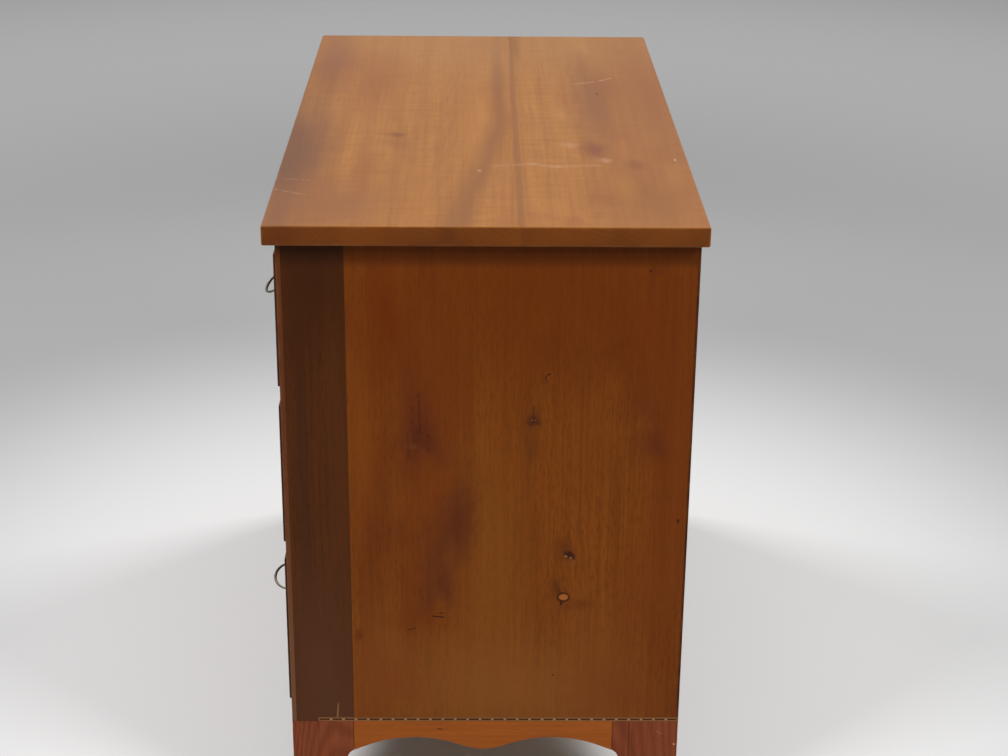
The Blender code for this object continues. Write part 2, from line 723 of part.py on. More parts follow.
def add_cockbead(name, levels, drawer):
    """A thin frame with a rounded nose, let into the edges of the drawer front."""
    height = levels.front_high - levels.front_low
    depth = BEAD_PROJECT + BEAD_SEAT
    shape = box_shape((2 * DRAWER_HALF, depth, height))
    ends = [face for face in shape.faces if abs(face.normal.y) > 0.5]
    bmesh.ops.inset_individual(shape, faces=ends, thickness=BEAD_THICK, use_even_offset=True)
    bmesh.ops.delete(shape, geom=ends, context="FACES_ONLY")
    bmesh.ops.bridge_loops(shape, edges=[edge for edge in shape.edges if edge.is_boundary])
    nose = [
        edge
        for edge in shape.edges
        if all(vert.co.y < 0 for vert in edge.verts)
        and any(abs(face.normal.y) < 0.5 for face in edge.link_faces)
    ]
    bmesh.ops.bevel(
        shape, geom=nose, offset=BEAD_NOSE, segments=BEAD_NOSE_STEPS, profile=0.5, affect="EDGES"
    )
    middle = (0, (BEAD_SEAT - BEAD_PROJECT) / 2, (levels.front_low + levels.front_high) / 2)
    place_part(f"{name}_cockbead", mesh_from(shape, f"{name}_cockbead"), "bead_wood", middle, parent=drawer)


def plate_mesh():
    """An oval plate with a raised rim, in its own XY plane, standing on the drawer face."""
    shape = bmesh.new()
    bmesh.ops.create_circle(shape, cap_ends=True, segments=PLATE_STEPS, radius=0.5)
    bmesh.ops.scale(shape, vec=(PLATE_LENGTH, PLATE_HEIGHT, 1), verts=shape.verts)
    bmesh.ops.translate(shape, vec=(0, 0, FIT), verts=shape.verts)
    made = bmesh.ops.extrude_face_region(shape, geom=list(shape.faces))["geom"]
    bmesh.ops.translate(
        shape, vec=(0, 0, PLATE_THICK), verts=[v for v in made if isinstance(v, bmesh.types.BMVert)]
    )
    face = [f for f in made if isinstance(f, bmesh.types.BMFace)]
    bmesh.ops.recalc_face_normals(shape, faces=shape.faces)
    for rise in (PLATE_RIM_RISE, 0.0, -PLATE_RIM_RISE):
        bmesh.ops.inset_region(
            shape, faces=face, thickness=PLATE_RIM_WIDTH, depth=rise, use_even_offset=True
        )
    return mesh_from(shape, "pull_plate")


def post_profile():
    """A post's radii and heights from its ball head, through the drawer front, to its nut."""
    plate_middle = FIT + PLATE_THICK / 2
    collar_top = FIT + PLATE_THICK + POST_COLLAR_HEIGHT
    neck_angle = math.acos(POST_NECK_RADIUS / POST_HEAD_RADIUS)
    sweep = math.radians(90) + neck_angle
    ball = [math.radians(90) - sweep * i / POST_BALL_STEPS for i in range(POST_BALL_STEPS + 1)]
    nut_top = -DRAWER_FRONT_THICK - FIT
    head = [(POST_HEAD_RADIUS * math.cos(a), PIVOT_OUT + POST_HEAD_RADIUS * math.sin(a)) for a in ball]
    return [
        (0, head[0][1]),
        *head[1:],
        (POST_NECK_RADIUS, collar_top),
        (POST_COLLAR_RADIUS, collar_top),
        (POST_COLLAR_RADIUS, plate_middle),
        (POST_SHANK_RADIUS, plate_middle),
        (POST_SHANK_RADIUS, nut_top),
        (NUT_RADIUS, nut_top),
        (NUT_RADIUS, nut_top - NUT_THICK),
        (0, nut_top - NUT_THICK),
    ]


def turned_mesh(name, profile):
    """A profile of radii and heights turned about Z."""
    shape = bmesh.new()
    verts = [shape.verts.new((radius, 0, z)) for radius, z in profile]
    for first, second in zip(verts, verts[1:]):
        shape.edges.new((first, second))
    mesh = bpy.data.meshes.new(name)
    shape.to_mesh(mesh)
    shape.free()
    guide = place(name, mesh, (0, 0, 0), collection="dresser_cutters")
    screw = guide.modifiers.new("turn", "SCREW")
    screw.steps = screw.render_steps = POST_STEPS
    screw.use_merge_vertices = True
    screw.merge_threshold = WELD
    turned = mesh_of(guide)
    bpy.data.objects.remove(guide)
    return turned


def cylinder_mesh(name, radius, length, middles, rotation):
    """Equal cylinders about these middles, turned from Z by a rotation."""
    guide = bmesh.new()
    for middle in middles:
        made = bmesh.ops.create_cone(
            guide, cap_ends=True, segments=POST_STEPS, radius1=radius, radius2=radius, depth=length
        )["verts"]
        bmesh.ops.rotate(guide, verts=made, cent=(0, 0, 0), matrix=rotation)
        bmesh.ops.translate(guide, verts=made, vec=middle)
    return mesh_from(guide, name)


def pull_mesh():
    """A plate with its two posts, which run through the drawer front to their nuts."""
    plate = place_cutter("pull_plate", plate_mesh(), (0, 0, 0))
    post = turned_mesh("pull_post", post_profile())
    helpers = []
    for side, sign in SIDES.items():
        helpers.append(place_cutter(f"pull_post_{side}", post, (sign * POST_SPACING / 2, 0, 0)))
        combine(plate, helpers[-1], "UNION")
    turn = Vector((0, 0, 1)).rotation_difference(Vector((1, 0, 0))).to_matrix()
    length = POST_SPACING + 2 * (POST_HEAD_RADIUS + POKE)
    pin_hole = cylinder_mesh("pin_hole", BAIL_PIN_RADIUS + PIN_GAP, length, [(0, 0, PIVOT_OUT)], turn)
    helpers.append(place_cutter("pin_hole", pin_hole, (0, 0, 0)))
    cut(helpers[-1], plate)
    mesh = mesh_of(plate)
    mesh.shade_smooth()
    mesh.set_sharp_from_angle(angle=PULL_SHARP_ANGLE)
    for helper in (*helpers, plate):
        bpy.data.objects.remove(helper)
    return mesh


def bail_curve():
    """A bail hanging from its axis: pins turned in at both ends of a tapering half oval."""
    right = [(POST_SPACING / 2 - BAIL_PIN_PAST, 0), (BAIL_HALF - BAIL_BEND, 0)]
    eighth = math.radians(45)
    right.append(
        (BAIL_HALF - BAIL_BEND * (1 - math.sin(eighth)), -BAIL_BEND * (1 - math.cos(eighth)))
    )
    start = math.asin(BAIL_BEND / BAIL_DROP)
    angles = [start + (math.pi - 2 * start) * i / BAIL_STEPS for i in range(BAIL_STEPS + 1)]
    oval = [(BAIL_HALF * math.cos(a), -BAIL_DROP * math.sin(a)) for a in angles]
    left = [(-x, z) for x, z in reversed(right)]
    curve = bpy.data.curves.new("bail", "CURVE")
    curve.dimensions = "3D"
    curve.bevel_depth = BAIL_RADIUS
    curve.bevel_resolution = BAIL_ROUND_STEPS
    curve.use_fill_caps = True
    spline = curve.splines.new("POLY")
    points = right + oval + left
    spline.points.add(len(points) - 1)
    for point, (x, z) in zip(spline.points, points):
        swell = (z / BAIL_DROP) ** 2
        point.co = (x, 0, z, 1)
        point.radius = (BAIL_PIN_RADIUS + (BAIL_RADIUS - BAIL_PIN_RADIUS) * swell) / BAIL_RADIUS
    spline.use_smooth = True
    return curve


def add_pulls(level, levels, drawer, front, pull, bail):
    """Two pulls on one drawer, with holes for their posts in its front."""
    axis_height = (levels.front_low + levels.front_high) / 2 + PULL_RAISE
    post_middles = []
    for side, sign in SIDES.items():
        x = sign * (CASE_HALF - PULL_INSET)
        name = f"{level}_{side}"
        place_part(f"{name}_pull_plate", pull, "brass", (x, 0, axis_height), ACROSS, drawer)
        lift = BAIL_LIFTS.get(name, 0.0)
        place_part(f"{name}_bail", bail, "brass", (x, -PIVOT_OUT, axis_height), (-lift, 0, 0), drawer)
        for post_sign in SIDES.values():
            post_middles.append((x + post_sign * POST_SPACING / 2, DRAWER_FRONT_THICK / 2, axis_height))
    turn = Vector((0, 0, 1)).rotation_difference(Vector((0, 1, 0))).to_matrix()
    length = DRAWER_FRONT_THICK + 2 * POKE
    holes = cylinder_mesh(f"{level}_post_holes", POST_SHANK_RADIUS + FIT, length, post_middles, turn)
    cut(place_cutter(f"{level}_post_holes", holes, (0, 0, 0), parent=drawer), front)


def make_drawers():
    """Three drawers of growing height, each on an empty that slides with it."""
    drawers = {
        "upper": (UPPER_OPENING, UPPER_DRAWER_HEIGHT),
        "middle": (MIDDLE_OPENING, MIDDLE_DRAWER_HEIGHT),
        "lower": (LOWER_OPENING, LOWER_DRAWER_HEIGHT),
    }
    pull = pull_mesh()
    bail = bail_curve()
    for level, (opening, height) in drawers.items():
        name = f"{level}_drawer"
        drawer = place(name, None, (0, CASE_FRONT, opening))
        levels = DrawerLevels(height)
        front = add_drawer_box(name, levels, drawer)
        add_drawer_bottom(name, levels, drawer)
        add_cockbead(name, levels, drawer)
        add_pulls(level, levels, drawer, front, pull, bail)


def main():
    """Builds the chest from its top down, then its drawers."""
    clear_scene()
    make_finishes()
    make_top()
    ends = make_ends()
    make_rails(ends)
    make_case_inside(ends)
    make_back(ends)
    make_inlay(ends)
    make_skirts()
    make_feet()
    make_drawers()


main()
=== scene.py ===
"""The looks of a country Federal chest of drawers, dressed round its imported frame.

Metres, with +Z up, the front facing -Y and the right end facing +X. The boards keep the frame's
shape and get softened arrises and figured wood. Beads, pulls, bails, inlay and nails are modelled here.
"""

import json
import logging
import math
from dataclasses import dataclass, field
from enum import Enum
from typing import Sequence, Union

import bmesh
import bpy
from mathutils import Matrix, Vector

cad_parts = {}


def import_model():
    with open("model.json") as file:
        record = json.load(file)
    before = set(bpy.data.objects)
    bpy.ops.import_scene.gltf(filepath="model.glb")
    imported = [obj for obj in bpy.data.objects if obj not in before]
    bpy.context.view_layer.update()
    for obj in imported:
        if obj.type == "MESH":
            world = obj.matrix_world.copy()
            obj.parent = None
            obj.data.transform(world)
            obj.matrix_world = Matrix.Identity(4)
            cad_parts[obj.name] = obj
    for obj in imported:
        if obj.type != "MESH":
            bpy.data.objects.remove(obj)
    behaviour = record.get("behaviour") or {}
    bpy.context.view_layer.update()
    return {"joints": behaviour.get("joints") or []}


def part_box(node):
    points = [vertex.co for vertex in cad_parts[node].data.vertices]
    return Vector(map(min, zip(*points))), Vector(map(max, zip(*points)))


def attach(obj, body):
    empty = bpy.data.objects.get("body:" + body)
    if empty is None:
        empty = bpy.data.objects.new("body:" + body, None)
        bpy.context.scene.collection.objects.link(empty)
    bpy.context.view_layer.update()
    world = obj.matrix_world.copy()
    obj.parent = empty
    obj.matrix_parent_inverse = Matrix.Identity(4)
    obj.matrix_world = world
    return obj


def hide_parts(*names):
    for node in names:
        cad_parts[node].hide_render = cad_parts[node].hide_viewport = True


LOG = logging.getLogger("chest")
LEVELS = ("upper", "middle", "lower")
BACK_BOARDS = ("back_board_upper", "back_board_lower")
WELD = 0.00001
FLAT_ANGLE = math.radians(1)
ARRIS_ANGLE = math.radians(25)
ARRIS_STEPS = 3
SHARP_ANGLE = math.radians(40)
FACE_WEIGHT = 100
GLUE_REACH = 0.00015
HIDDEN_REACH = 0.1
RAGGED_GRAIN = 0.7
RAGGED_DETAIL = 3.0
LINE_CORE = 0.3
GAP_SCALE = (160.0, 160.0, 160.0)
GAP_EDGE = 0.15
STREAK_GRAIN = (6.0, 60.0, 60.0)
STREAK_DETAIL = 4.0
NOISE_MIDDLE = 0.5
SEED_SHIFT = (0.731, 0.417, 1.193)
PITH_SIDE = 0.25
PITH_SIDE_STEP = 0.618
PITH_DEPTH = 0.08
PITH_DEPTH_STEP = 0.377
PITH_DEPTH_LEAST = 0.7
PITH_DEPTH_SPREAD = 0.6
PITH_TAPER = 0.05
RING_DRIFT = (0.06, 0.06, 0.0)
RING_BEND = 1.5
END_LEAST = 0.5
END_FULL = 0.9
WEAR_SCALE = (45.0, 45.0, 45.0)
WEAR_DETAIL = 4.0
WEAR_UNEVEN = 0.009
WEAR_REACH = 0.0028
WEAR_CORE = 0.0004
CLOUD_SHINE = 0.10
PORE_SHINE = 0.08
RING_RELIEF = -0.35
PORE_RELIEF = -1.0
BUMP_HEIGHT = 0.0006
SHEEN_ROUGHNESS = 0.4
TARNISH_SHINE = 0.3
PITTING = 0.15
PIT_DEPTH = 0.0002
ROUND_ANGLE = math.radians(35)
RIGHT_ANGLE = math.radians(90)

Colour = tuple[float, float, float]
Point = tuple[float, float, float]
Value = Union[bpy.types.NodeSocket, float, Sequence[float]]


class Grain(Enum):
    """The axis that a board's grain follows, with the two axes across it first."""

    X = (1, 2, 0)
    Y = (2, 0, 1)
    Z = (1, 0, 2)


class Face(Enum):
    """A side of a board's box, as its axis and whether it is the high side."""

    RIGHT = (0, True)
    LEFT = (0, False)
    FRONT = (1, False)
    BACK = (1, True)
    TOP = (2, True)
    UNDER = (2, False)


class Graph:
    """Adds nodes to one tree; each input is a plain value or another node's output."""

    def __init__(self, tree: bpy.types.NodeTree) -> None:
        """Takes the tree to build in."""
        self.tree = tree

    def feed(self, socket: bpy.types.NodeSocket, value: Value) -> None:
        """Links an output to a socket, or sets the socket's own value.

        Args:
            socket: The input to fill.
            value: An output, a number or a vector; a colour may leave out its alpha.
        """
        if isinstance(value, bpy.types.NodeSocket):
            self.tree.links.new(value, socket)
        elif socket.type == "RGBA" and len(value) == 3:
            socket.default_value = (*value, 1.0)
        else:
            socket.default_value = value

    def node(self, kind: str, inputs: dict, **settings: object) -> bpy.types.Node:
        """Adds one node.

        Args:
            kind: The node's type name.
            inputs: Values by input name or number.
            settings: The node's own properties.

        Returns:
            The new node.
        """
        made = self.tree.nodes.new(kind)
        for name, value in settings.items():
            setattr(made, name, value)
        for key, value in inputs.items():
            self.feed(made.inputs[key], value)
        return made

    def math(self, operation: str, *values: Value) -> bpy.types.NodeSocket:
        """The output of a Math node on these values."""
        return self.node("ShaderNodeMath", dict(enumerate(values)), operation=operation).outputs[0]

    def vector(self, operation: str, *values: Value) -> bpy.types.NodeSocket:
        """The vector output of a Vector Math node on these values."""
        return self.node("ShaderNodeVectorMath", dict(enumerate(values)), operation=operation).outputs[0]

    def scaled(self, value: Value, factor: Value) -> bpy.types.NodeSocket:
        """A vector times a number."""
        inputs = {0: value, "Scale": factor}
        return self.node("ShaderNodeVectorMath", inputs, operation="SCALE").outputs[0]

    def length(self, value: Value) -> bpy.types.NodeSocket:
        """The length of a vector."""
        return self.node("ShaderNodeVectorMath", {0: value}, operation="LENGTH").outputs["Value"]

    def split(self, value: Value) -> list[bpy.types.NodeSocket]:
        """The three numbers of a vector."""
        return list(self.node("ShaderNodeSeparateXYZ", {0: value}).outputs)

    def join(self, *values: Value) -> bpy.types.NodeSocket:
        """A vector of three numbers."""
        return self.node("ShaderNodeCombineXYZ", dict(enumerate(values))).outputs[0]

    def noise(self, coords: Value, detail: float = 2.0, warp: float = 0.0) -> bpy.types.Node:
        """A noise texture at scale 1 on coordinates that are already stretched."""
        inputs = {"Vector": coords, "Scale": 1.0, "Detail": detail, "Distortion": warp}
        return self.node("ShaderNodeTexNoise", inputs)

    def ease(self, value: Value, low: float, high: float) -> bpy.types.NodeSocket:
        """A smooth step from 0 at low to 1 at high; low may be the larger."""
        inputs = {"Value": value, "From Min": low, "From Max": high}
        return self.node("ShaderNodeMapRange", inputs, interpolation_type="SMOOTHSTEP").outputs[0]

    def mix(self, share: Value, first: Value, second: Value) -> bpy.types.NodeSocket:
        """A blend of two colours."""
        inputs = {0: share, 6: first, 7: second}
        return self.node("ShaderNodeMix", inputs, data_type="RGBA", clamp_factor=True).outputs[2]


def new_material(name: str) -> tuple[bpy.types.Material, Graph, bpy.types.Node]:
    """Starts a material.

    Args:
        name: The material's name.

    Returns:
        The material, its nodes and its surface shader.
    """
    material = bpy.data.materials.new(name)
    material.use_nodes = True
    return material, Graph(material.node_tree), material.node_tree.nodes["Principled BSDF"]


class Mark:
    """Something that shows on a board: it leaves the grain alone and blends in a colour of its own."""

    colour: Colour
    strength: float

    def bend(self, graph: Graph, coords: Value, grain: Grain) -> Value:
        """Leaves the grain as it runs."""
        return coords

    def mask(self, graph: Graph, place: Value) -> bpy.types.NodeSocket:
        """Where the mark lies, from 0 to 1; each kind has its own."""
        raise NotImplementedError

    def paint(self, graph: Graph, place: Value, colour: Value) -> bpy.types.NodeSocket:
        """Blends the mark over a colour.

        Args:
            graph: The material's nodes.
            place: Object coordinates.
            colour: What lies under the mark.

        Returns:
            The colour with the mark on it.
        """
        share = graph.math("MULTIPLY", self.mask(graph, place), self.strength)
        return graph.mix(share, colour, self.colour)


@dataclass(frozen=True)
class Spot(Mark):
    """An oval patch of another colour, soft at its border."""

    centre: Point
    radii: Point
    colour: Colour
    strength: float = 1.0
    softness: float = 0.6
    ragged: float = 0.0
    tilt: float = 0.0

    def reach(self, graph: Graph, place: Value) -> bpy.types.NodeSocket:
        """The distance from the centre, 1 at the border, broken up by noise.

        Args:
            graph: The material's nodes.
            place: Object coordinates.

        Returns:
            The distance in radii.
        """
        offset = graph.vector("SUBTRACT", place, self.centre)
        if self.tilt:
            turn = {"Vector": offset, "Angle": self.tilt}
            offset = graph.node("ShaderNodeVectorRotate", turn, rotation_type="X_AXIS").outputs[0]
        reach = graph.length(graph.vector("DIVIDE", offset, self.radii))
        if self.ragged:
            stretched = graph.vector("DIVIDE", offset, [radius * RAGGED_GRAIN for radius in self.radii])
            rough = graph.math("SUBTRACT", graph.noise(stretched, RAGGED_DETAIL).outputs[0], NOISE_MIDDLE)
            reach = graph.math("MULTIPLY_ADD", rough, 2 * self.ragged, reach)
        return reach

    def mask(self, graph: Graph, place: Value) -> bpy.types.NodeSocket:
        """The patch, fading out over its soft border."""
        return graph.ease(self.reach(graph, place), 1.0, 1.0 - self.softness)


@dataclass(frozen=True)
class Line(Mark):
    """A thin straight mark: a scratch, a check or a line of shadow."""

    start: Point
    end: Point
    width: float
    colour: Colour
    strength: float = 1.0
    broken: float = 0.0

    def mask(self, graph: Graph, place: Value) -> bpy.types.NodeSocket:
        """How near a place is to the line.

        Args:
            graph: The material's nodes.
            place: Object coordinates.

        Returns:
            The line, with gaps in it where it is broken.
        """
        run = Vector(self.end) - Vector(self.start)
        offset = graph.vector("SUBTRACT", place, self.start)
        inputs = {0: offset, 1: run / run.length_squared}
        share = graph.node("ShaderNodeVectorMath", inputs, operation="DOT_PRODUCT").outputs["Value"]
        share = graph.node("ShaderNodeClamp", {0: share}).outputs[0]
        nearest = graph.scaled(run, share)
        away = graph.length(graph.vector("SUBTRACT", offset, nearest))
        mask = graph.ease(away, self.width, self.width * LINE_CORE)
        if self.broken:
            gaps = graph.noise(graph.vector("MULTIPLY", place, GAP_SCALE)).outputs[0]
            mask = graph.math("MULTIPLY", mask, graph.ease(gaps, self.broken, self.broken + GAP_EDGE))
        return mask


@dataclass(frozen=True)
class Knot(Mark):
    """A knot: the grain parts round it, and marks of its own lie on it."""

    centre: Point
    swell: Point
    marks: tuple[Mark, ...]
    pull: float = 0.7

    def bend(self, graph: Graph, coords: Value, grain: Grain) -> bpy.types.NodeSocket:
        """Draws the grain's coordinates in round the knot, so that its lines part there.

        Args:
            graph: The material's nodes.
            coords: The grain's coordinates so far.
            grain: The direction that stays as it is.

        Returns:
            The bent coordinates.
        """
        offset = graph.vector("SUBTRACT", coords, self.centre)
        away = graph.length(graph.vector("DIVIDE", offset, self.swell))
        across = [1.0, 1.0, 1.0]
        across[grain.value[2]] = 0.0
        flat = graph.vector("MULTIPLY", offset, across)
        shift = graph.scaled(flat, graph.math("MULTIPLY", graph.ease(away, 1.0, 0.0), -self.pull))
        return graph.vector("ADD", coords, shift)

    def paint(self, graph: Graph, place: Value, colour: Value) -> bpy.types.NodeSocket:
        """Blends the knot's marks over a colour, one after another.

        Args:
            graph: The material's nodes.
            place: Object coordinates.
            colour: What lies under the knot.

        Returns:
            The colour with the knot on it.
        """
        for mark in self.marks:
            colour = mark.paint(graph, place, colour)
        return colour


@dataclass(frozen=True)
class Streak(Mark):
    """A darker band of heartwood that wanders along a board, sharper on its rear side."""

    reach: float
    drift: tuple[tuple[float, float], ...]
    front_width: float
    rear_width: float
    colour: Colour
    strength: float
    spread: float

    def centre_line(self, graph: Graph, x: Value) -> bpy.types.NodeSocket:
        """The band's Y at each X.

        Args:
            graph: The material's nodes.
            x: How far along the board.

        Returns:
            The middle of the band there.
        """
        along = graph.math("MULTIPLY_ADD", x, 0.5 / self.reach, 0.5)
        node = graph.node("ShaderNodeFloatCurve", {"Value": along})
        curve = node.mapping.curves[0]
        spots = [(0.5 + x * 0.5 / self.reach, 0.5 + y / self.reach) for x, y in self.drift]
        curve.points[0].location = spots[0]
        curve.points[1].location = spots[-1]
        for spot in spots[1:-1]:
            curve.points.new(*spot)
        node.mapping.update()
        return graph.math("MULTIPLY", graph.math("SUBTRACT", node.outputs[0], 0.5), self.reach)

    def mask(self, graph: Graph, place: Value) -> bpy.types.NodeSocket:
        """The band on both sides of its centre line.

        Args:
            graph: The material's nodes.
            place: Object coordinates.

        Returns:
            The band, frayed along the grain.
        """
        x, y, _ = graph.split(place)
        ragged = graph.noise(graph.vector("MULTIPLY", place, STREAK_GRAIN), STREAK_DETAIL).outputs[0]
        away = graph.math("SUBTRACT", y, self.centre_line(graph, x))
        away = graph.math("DIVIDE", away, graph.math("MULTIPLY_ADD", x, self.spread, 1.0))
        frayed = graph.math("SUBTRACT", ragged, NOISE_MIDDLE)
        away = graph.math("MULTIPLY_ADD", frayed, self.rear_width, away)
        rear = graph.ease(away, self.rear_width, 0.0)
        front = graph.ease(away, -self.front_width, 0.0)
        return graph.math("MULTIPLY", rear, front)


@dataclass(frozen=True)
class Pattern:
    """Noise stretched along the grain, and the two levels that it is eased between."""

    across: float
    along: float
    low: float = 0.0
    high: float = 1.0
    detail: float = 2.0
    warp: float = 0.0

    def noise(self, graph: Graph, coords: Value) -> bpy.types.Node:
        """The noise, on coordinates that have the grain's own last."""
        stretched = graph.vector("MULTIPLY", coords, (self.across, self.across, self.along))
        return graph.noise(stretched, self.detail, self.warp)

    def eased(self, graph: Graph, coords: Value) -> bpy.types.NodeSocket:
        """The noise as a mask, 0 at the low level and 1 at the high one."""
        return graph.ease(self.noise(graph, coords).outputs[0], self.low, self.high)


BROAD_TARNISH = Pattern(110.0, 110.0, 0.2, 0.85, 4.0, 0.5)
FINE_TARNISH = Pattern(900.0, 900.0, 0.55, 0.75, 3.0)
RING_WANDER = Pattern(3.0, 0.9)
RING_WAVER = Pattern(22.0, 1.6)
RING_SHOWN = Pattern(9.0, 1.3, 0.3, 0.6)
FIGURE = {
    "streak": Pattern(60.0, 1.5, 0.28, 0.72, 4.0, 0.3),
    "cloud": Pattern(8.0, 2.4, 0.28, 0.72, 3.0),
    "blotch": Pattern(12.0, 4.5, 0.5, 0.75, 4.0, 0.6),
    "fibre": Pattern(330.0, 6.0, 0.35, 0.75, 3.0),
    "curl": Pattern(16.0, 75.0, 0.4, 0.75, 3.0),
    "pore": Pattern(900.0, 22.0, 0.52, 0.72),
    "fleck": Pattern(300.0, 75.0, 0.45, 0.7, 3.0),
}


@dataclass(frozen=True)
class Wood:
    """One wood's tones, figure and finish."""

    light: Colour
    dark: Colour
    blotch: Colour
    pore: Colour
    worn: Colour
    ring_gap: float = 0.006
    ring_share: float = 0.18
    streak_share: float = 0.42
    cloud_share: float = 0.4
    fibre_strength: float = 0.28
    curl_strength: float = 0.0
    blotch_strength: float = 0.35
    pore_strength: float = 0.2
    fleck_strength: float = 0.12
    end_grain: float = 0.5
    end_tone: Colour = (0.06, 0.016, 0.004)
    end_dark: Colour = (0.04, 0.011, 0.003)
    end_rings: float = 0.4
    wear: float = 0.3
    roughness: float = 0.45
    specular: float = 0.08
    sheen: float = 0.0
    bump: float = 0.12

    def figure(self, graph: Graph, coords: Value, grain: Grain, seed: float, middle: Vector) -> dict:
        """The patterns that a wood is built from.

        Args:
            graph: The material's nodes.
            coords: Object coordinates, bent round any knots.
            grain: The grain's direction.
            seed: Shifts the patterns, so that no two boards are alike.
            middle: The board's middle.

        Returns:
            The growth rings, streaks, clouds, blotches, fibres, curl, pores and flecks, each from 0 to 1.
        """
        parts = graph.split(graph.vector("SUBTRACT", coords, middle))
        first, second, along = (parts[axis] for axis in grain.value)
        shift = [seed * share for share in SEED_SHIFT]
        shifted = graph.vector("ADD", graph.join(first, second, along), shift)
        side = ((seed * PITH_SIDE_STEP) % 1.0 - 0.5) * PITH_SIDE
        depth = PITH_DEPTH * (PITH_DEPTH_LEAST + (seed * PITH_DEPTH_STEP) % PITH_DEPTH_SPREAD)
        tapered = graph.math("MULTIPLY_ADD", along, PITH_TAPER, graph.math("ADD", second, depth))
        pith = graph.join(graph.math("ADD", first, side), tapered, 0.0)
        wander = RING_WANDER.noise(graph, shifted).outputs[1]
        wander = graph.vector("SUBTRACT", wander, (NOISE_MIDDLE, NOISE_MIDDLE, NOISE_MIDDLE))
        radius = graph.length(graph.vector("MULTIPLY_ADD", wander, RING_DRIFT, pith))
        waver = RING_WAVER.noise(graph, shifted).outputs[0]
        turns = graph.math("MULTIPLY_ADD", waver, RING_BEND, graph.math("DIVIDE", radius, self.ring_gap))
        wave = graph.math("SINE", graph.math("MULTIPLY", turns, 2 * math.pi))
        ring = graph.math("MULTIPLY_ADD", wave, 0.5, 0.5)
        shown = RING_SHOWN.eased(graph, shifted)
        rings = {"ring": graph.math("MULTIPLY", ring, shown)}
        return rings | {name: pattern.eased(graph, shifted) for name, pattern in FIGURE.items()}

    def arris(self, graph: Graph, place: Value, low: Point, high: Point) -> bpy.types.NodeSocket:
        """Where a board is rubbed along its arrises.

        Args:
            graph: The material's nodes.
            place: Object coordinates.
            low: The board's lowest corner.
            high: The board's highest corner.

        Returns:
            A mask, 1 on the arrises.
        """
        inside = graph.vector(
            "MINIMUM", graph.vector("SUBTRACT", place, low), graph.vector("SUBTRACT", high, place)
        )
        x, y, z = graph.split(graph.vector("ABSOLUTE", inside))
        least = graph.math("MINIMUM", graph.math("MINIMUM", x, y), z)
        most = graph.math("MAXIMUM", graph.math("MAXIMUM", x, y), z)
        total = graph.math("ADD", graph.math("ADD", x, y), z)
        middle = graph.math("SUBTRACT", graph.math("SUBTRACT", total, least), most)
        rough = graph.noise(graph.vector("MULTIPLY", place, WEAR_SCALE), WEAR_DETAIL).outputs[0]
        uneven = graph.math("SUBTRACT", rough, NOISE_MIDDLE)
        edge = graph.math("MULTIPLY_ADD", uneven, WEAR_UNEVEN, middle)
        return graph.ease(edge, WEAR_REACH, WEAR_CORE)

    def colour(self, graph: Graph, figure: dict) -> bpy.types.NodeSocket:
        """The wood's colour before any marks.

        Args:
            graph: The material's nodes.
            figure: The patterns.

        Returns:
            The colour.
        """
        tone = graph.math("MULTIPLY", figure["ring"], self.ring_share)
        tone = graph.math("MULTIPLY_ADD", figure["streak"], self.streak_share, tone)
        tone = graph.math("MULTIPLY_ADD", figure["cloud"], self.cloud_share, tone)
        colour = graph.mix(tone, self.light, self.dark)
        for part, strength, shade in (
            ("blotch", self.blotch_strength, self.blotch),
            ("curl", self.curl_strength, self.dark),
            ("fibre", self.fibre_strength, self.pore),
            ("pore", self.pore_strength, self.pore),
            ("fleck", self.fleck_strength, self.pore),
        ):
            colour = graph.mix(graph.math("MULTIPLY", figure[part], strength), colour, shade)
        return colour

    def material(
        self,
        name: str,
        grain: Grain,
        seed: float,
        marks: Sequence[Mark],
        low: Point,
        high: Point,
        end_marks: Sequence[Mark] = (),
    ) -> bpy.types.Material:
        """Builds this wood for one board.

        Args:
            name: The material's name.
            grain: The grain's direction.
            seed: Shifts the patterns.
            marks: Knots, stains and scratches of this board.
            low: The board's lowest corner.
            high: The board's highest corner.
            end_marks: Marks that show on the end grain alone.

        Returns:
            The finished material.
        """
        material, graph, shader = new_material(name)
        source = graph.node("ShaderNodeTexCoord", {})
        place = source.outputs["Object"]
        coords = place
        for mark in marks:
            coords = mark.bend(graph, coords, grain)
        figure = self.figure(graph, coords, grain, seed, (Vector(low) + Vector(high)) / 2)
        colour = self.colour(graph, figure)
        facing = graph.split(source.outputs["Normal"])[grain.value[2]]
        ends = graph.ease(graph.math("ABSOLUTE", facing), END_LEAST, END_FULL)
        for mark in marks:
            colour = mark.paint(graph, place, colour)
        end_colour = graph.mix(figure["cloud"], self.end_tone, self.end_dark)
        rings = graph.math("MULTIPLY", figure["ring"], self.end_rings)
        end_colour = graph.mix(rings, end_colour, self.end_dark)
        for mark in end_marks:
            end_colour = mark.paint(graph, place, end_colour)
        colour = graph.mix(graph.math("MULTIPLY", ends, self.end_grain), colour, end_colour)
        rubbed = graph.math("MULTIPLY", self.arris(graph, place, low, high), self.wear)
        colour = graph.mix(rubbed, colour, self.worn)
        shine = graph.math("MULTIPLY_ADD", figure["cloud"], CLOUD_SHINE, self.roughness - CLOUD_SHINE / 2)
        shine = graph.math("MULTIPLY_ADD", figure["pore"], PORE_SHINE, shine)
        pores = graph.math("MULTIPLY", figure["pore"], PORE_RELIEF)
        relief = graph.math("MULTIPLY_ADD", figure["ring"], RING_RELIEF, pores)
        inputs = {"Strength": self.bump, "Distance": BUMP_HEIGHT, "Height": relief}
        bump = graph.node("ShaderNodeBump", inputs)
        graph.feed(shader.inputs["Base Color"], colour)
        graph.feed(shader.inputs["Roughness"], shine)
